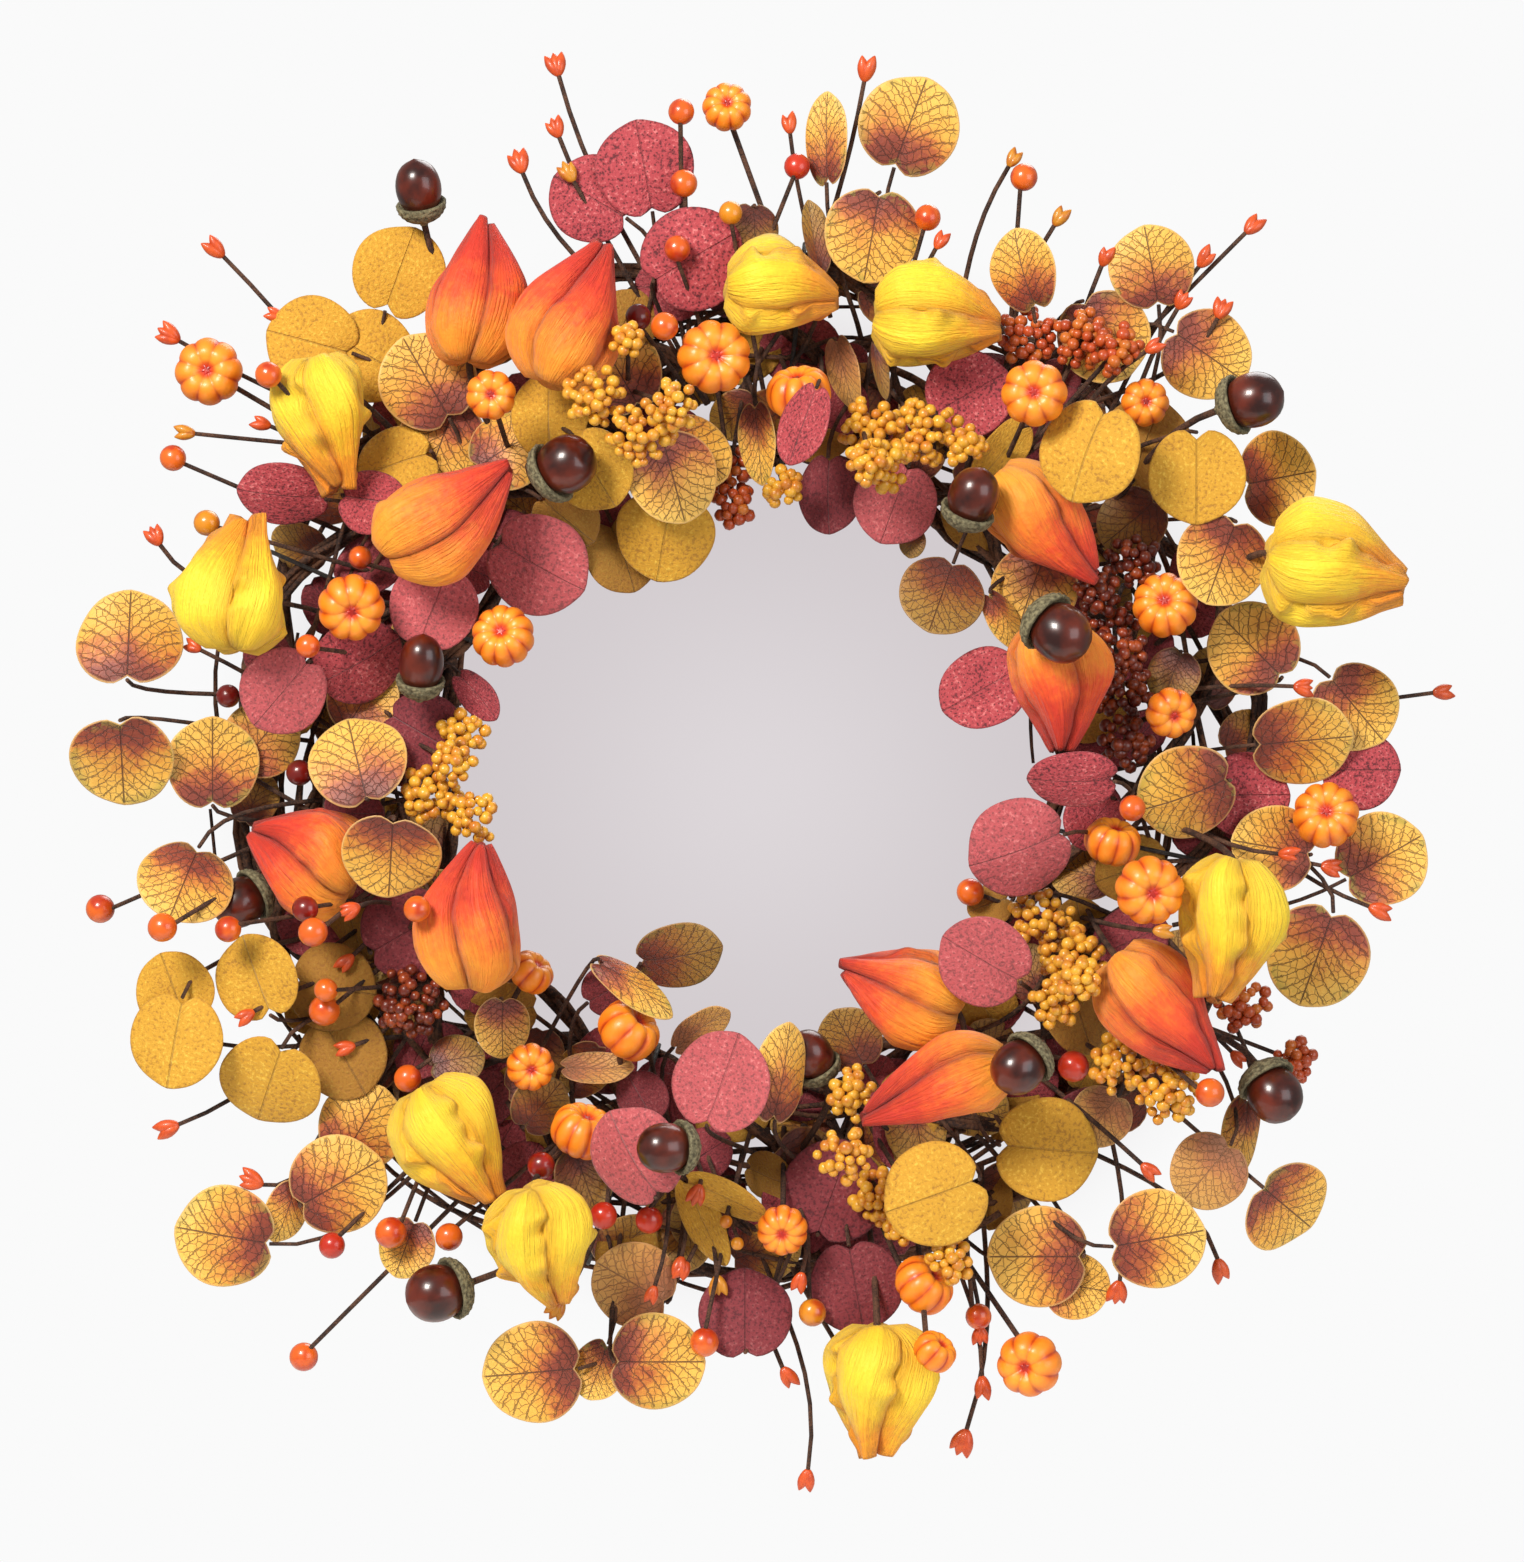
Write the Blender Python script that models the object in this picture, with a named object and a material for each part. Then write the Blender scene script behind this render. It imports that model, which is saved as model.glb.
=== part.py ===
"""Harvest door wreath: a ring of twisted vines that carries paper lanterns, leaf sprays and harvest picks.

The wreath hangs upright: the front faces -Y, the door is on the +Y side and +Z is up. The origin is the
seat of the hook, on the inside of the ring at the top. Clock is in degrees clockwise from the top, as seen
from the front. Reach is the distance from the middle of the ring. Height is the distance in front of the
ring's mid-plane, so height = -y. Heading is the clock direction that a tip points to.
"""

import math

import bmesh
import bpy
import numpy as np
from mathutils import Matrix, Vector
from mathutils.bvhtree import BVHTree

MM = 0.001

# Driving dimensions, in metres.
RING_RADIUS = 0.158  # middle line of the vine ring
DRAWN_RING_MM = 158.0  # ring that the reaches in the tables below are drawn on
RING_HALF_WIDTH = 0.040  # how far the vines wander either side of the middle line
RING_HALF_DEPTH = 0.011  # how far they wander to the front and the back
VINE_COUNT = 6
VINE_TURNS = 3  # times each vine twists round the middle line
VINE_RADIUS = 0.0030
VINE_POINTS = 36
TIE_CLOCKS = (6.0, 102.0, 198.0, 294.0)
TIE_RADIUS = 0.0009
WIRE_RADIUS = 0.0009
JOINED_END = 0.85  # a wire's first end is this much thinner, so it sits inside the wire that it joins
ROOT_TAIL = 0.001  # how far a hook runs past the root that its wires branch from
SECTORS = 15  # leaf sprays, and as many harvest picks, round the ring
LEAF_THICKNESS = 0.0012
PIECE_SCALE = 1.0  # size of every lantern, leaf, pumpkin, acorn and berry
GAP = 0.0005  # clear space between neighbours
WIRE_GAP = 0.0006  # clear space between wires of different picks
SPECK = 1e-12  # volume, in cubic metres, of a stray shell that a union leaves where wires cross
CELL = 0.002  # grid that the pieces are stacked on
NEAR_STARTS = 2  # branch points that a new wire may start from
HOOK_SHIFTS = (0, 2, -2, 4, -4, 6, -6, 8, -8)  # degrees that a pick's hook may stand off its sector's middle
FOOT_SHIFTS = (0, 1, -1, 2, -2)  # degrees that a lantern's stem may stand off its clock

# Depth bands in front of the vines, worked out from the sizes above.
VINE_FRONT = RING_HALF_DEPTH + VINE_RADIUS
TIE_FRONT = VINE_FRONT + GAP + 2 * TIE_RADIUS
BAND_STEP = 2 * WIRE_RADIUS + WIRE_GAP
PICK_BAND = TIE_FRONT + WIRE_GAP + WIRE_RADIUS
SPRAY_BAND = PICK_BAND + BAND_STEP
LANTERN_BAND = SPRAY_BAND + BAND_STEP
STACK_FLOOR = LANTERN_BAND + WIRE_RADIUS + GAP
SEAT_RADIUS = RING_RADIUS - RING_HALF_WIDTH - VINE_RADIUS
CENTRE_Z = -SEAT_RADIUS
GRID_HALF = RING_RADIUS + 0.20

MOST_TILT = math.radians(30)

# Orange and yellow paper lanterns: clock, reach, length, width, heading, layer.
ORANGE_LANTERNS = (
    (330, 207, 56, 41, 5, 5),
    (339, 181, 58, 42, 20, 6),
    (310, 149, 58, 42, 55, 6),
    (258, 174, 46, 42, 300, 5),
    (241, 118, 56, 42, 5, 6),
    (51, 144, 54, 37, 135, 5),
    (75.5, 118.5, 48, 41, 175, 5),
    (146, 103, 48, 38, 290, 5),
    (150, 142, 58, 33, 250, 6),
    (121, 182, 58, 39, 140, 6),
)
YELLOW_LANTERNS = (
    (309, 206, 52, 43, 170, 5),
    (289.5, 203, 52, 47, 5, 6),
    (4, 179, 44, 43, 95, 6),
    (23, 183, 50, 46, 95, 6),
    (71.5, 232, 54, 49, 105, 6),
    (109, 188, 54, 44, 190, 6),
    (218, 182, 50, 44, 150, 6),
    (203, 197, 48, 46, 165, 6),
    (168.5, 242, 50, 46, 180, 6),
)

# Leaves: clock, reach, length, width, heading, layer.
LEAVES = (
    # veined, gold and maroon
    (7, 240, 37, 16, 0, 3),
    (14, 251.5, 39, 39, 20, 4),
    (13, 208, 37, 37, 190, 3),
    (13.5, 154.5, 30, 12, 165, 5),
    (1.5, 123, 33, 14, 175, 4),
    (29, 214.5, 33, 24, 345, 5),
    (39, 244, 33, 33, 350, 5),
    (39.5, 212.5, 36, 36, 150, 3),
    (48, 234.5, 35, 35, 125, 4),
    (61.5, 229, 28, 37, 80, 5),
    (66.5, 194.5, 35, 35, 200, 6),
    (48.5, 97.5, 30, 33, 200, 5),
    (58, 127, 35, 33, 200, 3),
    (77, 197, 36, 36, 315, 4),
    (84.5, 232, 34, 34, 140, 4),
    (87.5, 210, 40, 33, 85, 5),
    (94, 167, 39, 35, 250, 6),
    (99, 203, 33, 33, 280, 4),
    (98.5, 244, 36, 36, 60, 5),
    (108.5, 228.5, 40, 40, 200, 5),
    (127, 236, 35, 15, 190, 3),
    (129.5, 264.5, 27, 38, 130, 4),
    (131.5, 233, 30, 30, 220, 4),
    (135, 190, 24, 24, 220, 3),
    (139.5, 237, 38, 38, 80, 5),
    (149.5, 218, 39, 39, 270, 6),
    (148, 235, 26, 26, 100, 4),
    (160, 112, 26, 25, 330, 3),
    (174, 118.5, 40, 20, 10, 5),
    (191, 103, 27, 13, 55, 4),
    (189, 230, 37, 37, 90, 5),
    (199.5, 246, 39, 39, 265, 5),
    (192.5, 203.5, 33, 33, 300, 4),
    (215.5, 226, 24, 22, 200, 3),
    (200.5, 78, 34, 25, 80, 6),
    (208, 94, 38, 13, 126, 6),
    (207, 130, 29, 12, 90, 5),
    (224.5, 224.5, 38, 38, 60, 5),
    (228, 268.5, 39, 39, 280, 5),
    (226, 245.5, 25, 16, 200, 3),
    (227, 203, 34, 34, 30, 3),
    (223.5, 137.5, 24, 21, 180, 4),
    (256, 139, 31, 38, 185, 6),
    (258.5, 218, 30, 37, 200, 5),
    (270.5, 148.5, 34, 38, 345, 6),
    (270, 205, 36, 35, 0, 6),
    (270.5, 238.5, 34, 40, 180, 7),
    (281.5, 241.5, 37, 41, 0, 5),
    (273, 187, 30, 30, 40, 4),
    (320, 191, 38, 38, 330, 4),
    (316.5, 171, 34, 34, 200, 3),
    (322.5, 152, 32, 30, 60, 4),
    (341.5, 157.5, 36, 33, 330, 5),
    (345, 113, 36, 34, 165, 5),
    # mustard
    (47, 173, 40, 37, 200, 7),
    (39, 152.5, 34, 16, 220, 5),
    (51, 194, 36, 36, 20, 2),
    (57, 201, 37, 37, 180, 6),
    (127, 157, 32, 26, 160, 3),
    (142.5, 185, 40, 40, 95, 7),
    (156.5, 177, 40, 40, 250, 7),
    (186, 174.5, 39, 15, 155, 6),
    (183.5, 164.5, 36, 13, 115, 6),
    (236.5, 219, 33, 40, 200, 6),
    (234.5, 191, 34, 34, 150, 3),
    (246.5, 204, 34, 32, 340, 5),
    (244.5, 241.5, 37, 36, 190, 6),
    (248.5, 235, 30, 30, 340, 5),
    (242, 181, 34, 34, 100, 3),
    (310.5, 177, 32, 30, 250, 3),
    (324.5, 231, 36, 36, 20, 4),
    (314, 232, 36, 36, 285, 5),
    (317, 213.5, 36, 36, 300, 3),
    (330, 153, 34, 30, 0, 4),
    (332, 126, 32, 30, 150, 5),
    (329, 94, 30, 28, 160, 3),
    (339.5, 92.5, 34, 38, 190, 4),
    # burgundy
    (9, 130, 33, 18, 200, 6),
    (16, 108, 31, 24, 180, 4),
    (30.5, 164, 34, 34, 60, 4),
    (29, 114.5, 33, 32, 200, 4),
    (72, 93.5, 35, 30, 240, 3),
    (93.5, 190, 33, 33, 90, 2),
    (90.5, 233, 31, 31, 90, 2),
    (93, 122.5, 35, 21, 270, 6),
    (107.5, 107.5, 40, 37, 250, 6),
    (130, 115.5, 36, 34, 300, 6),
    (168.5, 203, 36, 36, 170, 5),
    (169, 166.5, 40, 40, 20, 4),
    (185, 121, 39, 37, 20, 6),
    (180.5, 209, 34, 36, 0, 4),
    (196.5, 155, 39, 34, 330, 6),
    (244, 146, 36, 36, 60, 3),
    (279, 178.5, 34, 32, 220, 6),
    (284.5, 153.5, 36, 30, 60, 4),
    (275.5, 125.5, 32, 30, 120, 4),
    (284.5, 107.5, 24, 13, 140, 5),
    (296.5, 134, 34, 34, 20, 5),
    (300, 205, 36, 23, 275, 4),
    (305, 175, 27, 25, 100, 4),
    (313, 111, 40, 38, 120, 6),
    (344.5, 224.5, 34, 34, 300, 3),
    (350, 231, 38, 38, 350, 4),
    (353.5, 194, 40, 40, 60, 4),
)

# Mini pumpkins: clock, reach, diameter, tip of the axis towards the front (1) or up (0), layer.
PUMPKINS = (
    (306, 255, 26, 1, 5),
    (358, 251, 19, 1, 5),
    (325, 169, 19, 1, 6),
    (355, 154, 28, 1, 6),
    (7.5, 142, 25, 0, 5),
    (37.5, 175, 25, 1, 7),
    (47.5, 204, 18.5, 1, 6),
    (291.5, 161.5, 25.5, 1, 6),
    (297.5, 105, 24, 1, 7),
    (69, 168.5, 25, 1, 5),
    (83, 160.5, 19.5, 1, 6),
    (95, 220, 25.5, 1, 6),
    (107.5, 156, 26, 1, 6),
    (102, 141, 22, 0, 4),
    (216, 142, 18.5, 1, 6),
    (204.5, 111, 25, 0, 5),
    (204.5, 153, 25, 0, 5),
    (176, 177, 19.5, 1, 7),
    (161.5, 208.5, 24, 0, 5),
    (162.5, 232, 17, 0, 6),
    (155, 252, 25, 1, 6),
    (226.5, 115, 18, 0, 5),
)

# Acorns: clock, reach, nut diameter, length with its cap, heading of the nut's tip, layer.
ACORNS = (
    (330, 252, 17.5, 25, 352, 5),
    (328, 132, 22, 26, 60, 7),
    (54, 232.5, 21, 26, 75, 6),
    (40, 129.5, 19, 25, 20, 5),
    (66.5, 125, 22, 27, 130, 7),
    (286.5, 129.5, 17, 26, 5, 7),
    (255, 200, 19, 24, 240, 3),
    (192, 146.5, 19, 24, 270, 8),
    (168, 114, 17, 23, 330, 4),
    (138, 151.5, 20, 24, 230, 7),
    (122, 234, 21, 25, 150, 6),
    (210.5, 232, 22, 26, 255, 6),
)

# Berries: clock, reach, diameter, layer.
BERRIES = (
    (309, 233, 10, 7),
    (354, 250, 10, 6),
    (353.5, 223, 10.5, 6),
    (352, 198, 10, 6),
    (349, 167.5, 10.5, 6),
    (4.5, 229, 10, 6),
    (18, 219, 10, 5),
    (25, 247.5, 10.5, 5),
    (298, 249.5, 10, 5),
    (294, 227, 10, 5),
    (277.5, 201, 9, 5),
    (269, 172, 10, 5),
    (257.5, 254, 11, 5),
    (254.5, 229.5, 11, 6),
    (252.5, 206.5, 10, 5),
    (252, 176, 10, 7),
    (249, 175.5, 11, 8),
    (246.5, 135.5, 10, 6),
    (240, 187, 12, 7),
    (227.5, 177, 10.5, 5),
    (221, 242.5, 10, 5),
    (217, 283, 11, 5),
    (217.5, 224.5, 12, 6),
    (212.5, 213, 10.5, 5),
    (207.5, 171, 10.5, 5),
    (198, 180.5, 10.5, 5),
    (192.5, 178, 10.5, 5),
    (184.5, 220, 11, 6),
    (173.5, 210, 10.5, 6),
    (157.5, 228, 10, 6),
    (125.5, 211.5, 11, 7),
    (96.5, 145, 10, 6),
    (120, 97, 10.5, 5),
    (285, 172, 9, 7),
    (298, 168.5, 9, 5),
)

# Grain heads: clock, reach, diameter, layer.
GRAINS = (
    (337, 149, 22, 6),
    (342, 130, 24, 6),
    (348, 136, 18, 6),
    (20, 135, 24, 6),
    (28, 142, 26, 6),
    (24, 124, 20, 6),
    (356, 112, 20, 3),
    (276, 109.5, 18, 5),
    (265, 121, 22, 5),
    (259.5, 107, 18, 5),
    (118, 126, 24, 5),
    (121, 143, 24, 5),
    (128, 146, 18, 6),
    (129, 180, 22, 4),
    (128, 200, 24, 5),
    (163, 130, 17, 5),
    (166.5, 151.5, 20, 6),
    (163, 172, 22, 5),
    (158, 202.5, 16, 6),
    (33, 195, 22, 3),
    (38, 206, 22, 3),
    (68, 147, 22, 3),
    (79, 145, 22, 3),
    (116, 210, 20, 3),
    (235, 158, 26, 3),
)

# Buds at the ends of long twigs: clock, reach, length, heading, layer.
BUDS = (
    (314, 283.5, 9, 315, 4),
    (306.5, 275.5, 9, 300, 4),
    (339, 246, 9, 340, 4),
    (344.5, 277, 9, 345, 4),
    (9.5, 269, 10, 10, 4),
    (43, 281.5, 9, 45, 4),
    (42, 260, 9, 40, 4),
    (84, 266, 9, 85, 4),
    (103, 246.5, 9, 110, 4),
    (137, 263.5, 10, 165, 4),
    (145, 245, 9, 190, 4),
    (159.5, 253.5, 9, 180, 4),
    (162.5, 270.5, 10, 200, 4),
    (175.5, 274, 10, 190, 4),
    (176.5, 234, 9, 150, 4),
    (238, 262, 10, 250, 4),
    (230, 247, 9, 290, 4),
    (291, 243.5, 9, 330, 4),
)


def start_scene():
    """Clears the startup scene and makes the wreath's collection."""
    for thing in list(bpy.data.objects):
        bpy.data.objects.remove(thing, do_unlink=True)
    collection = bpy.data.collections.new("harvest_door_wreath")
    bpy.context.scene.collection.children.link(collection)
    return collection


def material(name, colour, roughness, metallic=0.0):
    """A Principled material, made once for each name."""
    if name in bpy.data.materials:
        return bpy.data.materials[name]
    made = bpy.data.materials.new(name)
    made.use_nodes = True
    shader = made.node_tree.nodes["Principled BSDF"]
    shader.inputs["Base Color"].default_value = (*colour, 1.0)
    shader.inputs["Roughness"].default_value = roughness
    shader.inputs["Metallic"].default_value = metallic
    return made


def finish_object(name, mesh, look, collection):
    """Puts a mesh in the scene as a named piece with its material."""
    mesh.materials.clear()
    mesh.materials.append(look)
    thing = bpy.data.objects.new(name, mesh)
    collection.objects.link(thing)
    thing.data.shade_smooth()
    thing.data.set_sharp_from_angle(angle=math.radians(40))
    return thing


def ring_point(clock, reach, height):
    """World point for a clock, a reach and a height in front of the ring's mid-plane."""
    turn = math.radians(clock)
    return Vector((reach * math.sin(turn), -height, CENTRE_Z + reach * math.cos(turn)))


def reach_on_ring(drawn_mm):
    """Reach in metres of a piece whose reach is drawn on the standard ring."""
    return RING_RADIUS + (drawn_mm - DRAWN_RING_MM) * MM


def facing(heading, roll=0.0, pitch=0.0):
    """Turns a piece's +Y to its heading and +Z to the front, then rolls and pitches it about its own axes."""
    turn = math.radians(heading)
    across = Vector((math.cos(turn), 0, -math.sin(turn)))
    along = Vector((math.sin(turn), 0, math.cos(turn)))
    front = Vector((0, -1, 0))
    frame = Matrix((across, along, front)).transposed()
    return frame @ Matrix.Rotation(roll, 3, "Y") @ Matrix.Rotation(pitch, 3, "X")


def foreshortened(length, width):
    """(length, width, roll, pitch) of a leaf that looks length by width: it is tilted, then narrowed."""
    if width < length:
        roll = min(math.acos(width / length), MOST_TILT)
        return length, width / math.cos(roll), roll, 0.0
    pitch = min(math.acos(length / width), MOST_TILT)
    return length / math.cos(pitch), width, 0.0, pitch


def leaf_shape(length, width):
    """A round thin leaf with a notch where its stem joins."""
    shape = bmesh.new()
    bmesh.ops.create_cone(
        shape, cap_ends=True, segments=8, radius1=0.5, radius2=0.5, depth=LEAF_THICKNESS
    )
    bmesh.ops.rotate(shape, verts=shape.verts, matrix=Matrix.Rotation(math.radians(22.5), 3, "Z"))
    lowest = min(vert.co.y for vert in shape.verts)
    for vert in shape.verts:
        if vert.co.y < lowest * 0.5:
            vert.co.x *= 0.55
        vert.co.x *= width
        vert.co.y *= length
    return shape


def lantern_shape(length, width):
    """A five-sided pod, widest towards its stem end and pleated to a point."""
    shape = bmesh.new()
    bmesh.ops.create_uvsphere(shape, u_segments=10, v_segments=5, radius=0.5)
    bmesh.ops.rotate(shape, verts=shape.verts, matrix=Matrix.Rotation(-math.pi / 2, 3, "X"))
    for vert in shape.verts:
        side = math.atan2(vert.co.z, vert.co.x)
        pleat = 1.0 + 0.06 * math.cos(5 * side)
        taper = 1.0 - 0.35 * (vert.co.y + 0.5)
        vert.co.x *= width * pleat * taper * 1.15
        vert.co.z *= width * 0.8 * pleat * taper * 1.15
        vert.co.y *= length
    return shape


def pumpkin_shape(diameter, to_front):
    """A squat ribbed ball; its axis points to the front, or along +Y for a side view."""
    shape = bmesh.new()
    bmesh.ops.create_uvsphere(shape, u_segments=10, v_segments=4, radius=0.5)
    for vert in shape.verts:
        side = math.atan2(vert.co.y, vert.co.x)
        rib = 1.0 + 0.04 * math.cos(5 * side)
        vert.co.x *= diameter * rib
        vert.co.y *= diameter * rib
        vert.co.z *= diameter * 0.75
    if not to_front:
        bmesh.ops.rotate(shape, verts=shape.verts, matrix=Matrix.Rotation(-math.pi / 2, 3, "X"))
    return shape


def acorn_shape(diameter, length):
    """A nut with its cap: the nut's tip points along +Y."""
    shape = bmesh.new()
    bmesh.ops.create_uvsphere(shape, u_segments=8, v_segments=5, radius=0.5)
    bmesh.ops.rotate(shape, verts=shape.verts, matrix=Matrix.Rotation(-math.pi / 2, 3, "X"))
    for vert in shape.verts:
        cap = 1.1 if vert.co.y < 0 else 0.98
        vert.co.x *= diameter * cap
        vert.co.z *= diameter * cap
        vert.co.y *= length
    return shape


def ball_shape(width, length, depth):
    """A small faceted ball, for a berry, a bud or a head of grain."""
    shape = bmesh.new()
    bmesh.ops.create_icosphere(shape, subdivisions=1, radius=0.5)
    bmesh.ops.scale(shape, verts=shape.verts, vec=(width, length, depth))
    return shape


class Piece:
    """One leaf, lantern, pumpkin, acorn, berry, bud or grain head, and where it has settled."""

    def __init__(self, node, kind, shape, clock, reach, turn):
        self.node = node
        self.kind = kind
        self.shape = shape
        self.clock = clock
        self.reach = reach_on_ring(reach)
        self.height = 0.0
        spot = ring_point(clock, self.reach, 0.0)
        place = Matrix.Translation(spot) @ turn.to_4x4()
        bmesh.ops.transform(shape, verts=shape.verts, matrix=place)
        self.spot = spot
        self.lift_range()

    def lift_range(self):
        """Samples the piece's back and front on the grid, each widened by a cell."""
        tree = BVHTree.FromBMesh(self.shape)
        corners = np.array([vert.co for vert in self.shape.verts])
        low = np.floor(corners[:, (0, 2)].min(axis=0) / CELL).astype(int) - 2
        high = np.ceil(corners[:, (0, 2)].max(axis=0) / CELL).astype(int) + 2
        size = high - low + 1
        back = np.full(size, np.inf)
        front = np.full(size, -np.inf)
        for i in range(size[0]):
            for j in range(size[1]):
                x, z = (low[0] + i) * CELL, (low[1] + j) * CELL
                hit = tree.ray_cast(Vector((x, -1, z)), Vector((0, 1, 0)))[0]
                if hit is None:
                    continue
                front[i, j] = -hit.y
                back[i, j] = -tree.ray_cast(Vector((x, 1, z)), Vector((0, -1, 0)))[0].y
        for vert in self.shape.verts:
            i, j = int(round(vert.co.x / CELL)) - low[0], int(round(vert.co.z / CELL)) - low[1]
            front[i, j] = max(front[i, j], -vert.co.y)
            back[i, j] = min(back[i, j], -vert.co.y)
        self.low = low
        self.back = spread(back, np.minimum)
        self.front = spread(front, np.maximum)

    def settle(self, stack):
        """Moves the piece forward until it clears everything already stacked behind it."""
        window = stack.window(self.low, self.back.shape)
        covered = np.isfinite(self.back)
        self.height = float((window[covered] - self.back[covered]).max()) + GAP
        stack.raise_to(self.low, self.front + self.height)
        bmesh.ops.translate(self.shape, verts=self.shape.verts, vec=(0, -self.height, 0))
        self.back = self.back + self.height
        self.front = self.front + self.height
        self.wide_back = spread(self.back, np.minimum)
        self.wide_front = spread(self.front, np.maximum)
        self.tree = BVHTree.FromBMesh(self.shape)

    def span_at(self, x, z):
        """(back, front) heights of the piece's twice widened outline at a place, or None."""
        i = int(round(x / CELL)) - self.low[0]
        j = int(round(z / CELL)) - self.low[1]
        if not (0 <= i < self.back.shape[0] and 0 <= j < self.back.shape[1]):
            return None
        if not math.isfinite(self.wide_back[i, j]):
            return None
        return self.wide_back[i, j], self.wide_front[i, j]

    def firm_at(self, x, z):
        """True where a wire's whole width meets the piece."""
        for step in range(4):
            turn = math.pi * step / 2
            side = (x + 2 * WIRE_RADIUS * math.cos(turn), z + 2 * WIRE_RADIUS * math.sin(turn))
            if self.inside_height(*side) is None:
                return False
        return True

    def inside_height(self, x, z):
        """Height halfway through the piece's material at a place, or None."""
        first = self.tree.ray_cast(Vector((x, -1, z)), Vector((0, 1, 0)))[0]
        if first is None:
            return None
        last = self.tree.ray_cast(Vector((x, 1, z)), Vector((0, -1, 0)))[0]
        return -(first.y + last.y) / 2


def spread(grid, pick):
    """The grid with each cell made the pick of itself and its eight neighbours."""
    edge = np.inf if pick is np.minimum else -np.inf
    wide = np.pad(grid, 1, constant_values=edge)
    result = grid.copy()
    for i in range(3):
        for j in range(3):
            result = pick(result, wide[i : i + grid.shape[0], j : j + grid.shape[1]])
    return result


class Stack:
    """How far forward the wreath already reaches, on a grid."""

    def __init__(self):
        self.first = np.array(
            [math.floor(-GRID_HALF / CELL), math.floor((CENTRE_Z - GRID_HALF) / CELL)]
        )
        cells = math.ceil(2 * GRID_HALF / CELL)
        self.heights = np.full((cells, cells), STACK_FLOOR)

    def window(self, low, size):
        """The heights under a piece."""
        i, j = low - self.first
        return self.heights[i : i + size[0], j : j + size[1]]

    def raise_to(self, low, front):
        """Records a piece's front."""
        i, j = low - self.first
        part = self.heights[i : i + front.shape[0], j : j + front.shape[1]]
        np.maximum(part, front, out=part)


def sector_of(clock, offset=0.0):
    """Number, from 1, of the sector of the ring that a clock falls in."""
    return int(((clock + offset) % 360) // (360 / SECTORS)) + 1


def all_pieces():
    """Every piece, as (layer, maker of the piece), from the tables."""
    scale = PIECE_SCALE * MM
    rows = []
    for colour, table in (("orange", ORANGE_LANTERNS), ("yellow", YELLOW_LANTERNS)):
        for number, (clock, reach, length, width, heading, layer) in enumerate(table, 1):
            shape = lantern_shape(length * scale, width * scale)
            node = f"{colour}_lantern_{number:02d}"
            rows.append((layer, Piece(node, "lantern", shape, clock, reach, facing(heading))))
    for clock, reach, length, width, heading, layer in LEAVES:
        long, wide, roll, pitch = foreshortened(length * scale, width * scale)
        node = f"leaf_spray_{sector_of(clock):02d}"
        turn = facing(heading, roll, pitch)
        rows.append((layer, Piece(node, "leaf", leaf_shape(long, wide), clock, reach, turn)))
    half = 180 / SECTORS
    for clock, reach, diameter, to_front, layer in PUMPKINS:
        node = f"harvest_pick_{sector_of(clock, half):02d}"
        shape = pumpkin_shape(diameter * scale, to_front)
        rows.append((layer, Piece(node, "pumpkin", shape, clock, reach, facing(0))))
    for clock, reach, diameter, length, heading, layer in ACORNS:
        node = f"harvest_pick_{sector_of(clock, half):02d}"
        shape = acorn_shape(diameter * scale, length * scale)
        rows.append((layer, Piece(node, "acorn", shape, clock, reach, facing(heading))))
    for clock, reach, diameter, layer in BERRIES:
        node = f"harvest_pick_{sector_of(clock, half):02d}"
        shape = ball_shape(diameter * scale, diameter * scale, diameter * scale)
        rows.append((layer, Piece(node, "berry", shape, clock, reach, facing(0))))
    for clock, reach, diameter, layer in GRAINS:
        node = f"harvest_pick_{sector_of(clock, half):02d}"
        shape = ball_shape(diameter * scale, diameter * scale, diameter * 0.5 * scale)
        rows.append((layer, Piece(node, "grain", shape, clock, reach, facing(0))))
    for clock, reach, length, heading, layer in BUDS:
        node = f"harvest_pick_{sector_of(clock, half):02d}"
        shape = ball_shape(length * 0.5 * scale, length * scale, length * 0.5 * scale)
        rows.append((layer, Piece(node, "bud", shape, clock, reach, facing(heading))))
    return rows


def settled_pieces():
    """Every piece, stacked from the back layer to the front one."""
    stack = Stack()
    rows = sorted(all_pieces(), key=lambda row: row[0])
    for _, piece in rows:
        piece.settle(stack)
    return [piece for _, piece in rows]


def segment_gaps(start, end, starts, ends):
    """Distances from one segment to many, by sampling along it and measuring to each exactly."""
    steps = max(2, int((end - start).length / (2 * WIRE_RADIUS)) + 1)
    along = np.linspace(0, 1, steps)[:, None]
    points = np.array(start)[None] * (1 - along) + np.array(end)[None] * along
    span = ends - starts
    square = np.maximum((span**2).sum(axis=1), 1e-12)
    offset = points[:, None, :] - starts[None]
    share = np.clip((offset * span[None]).sum(axis=2) / square[None], 0, 1)
    nearest = starts[None] + share[..., None] * span[None]
    return np.sqrt(((points[:, None, :] - nearest) ** 2).sum(axis=2)).min(axis=0)


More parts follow.
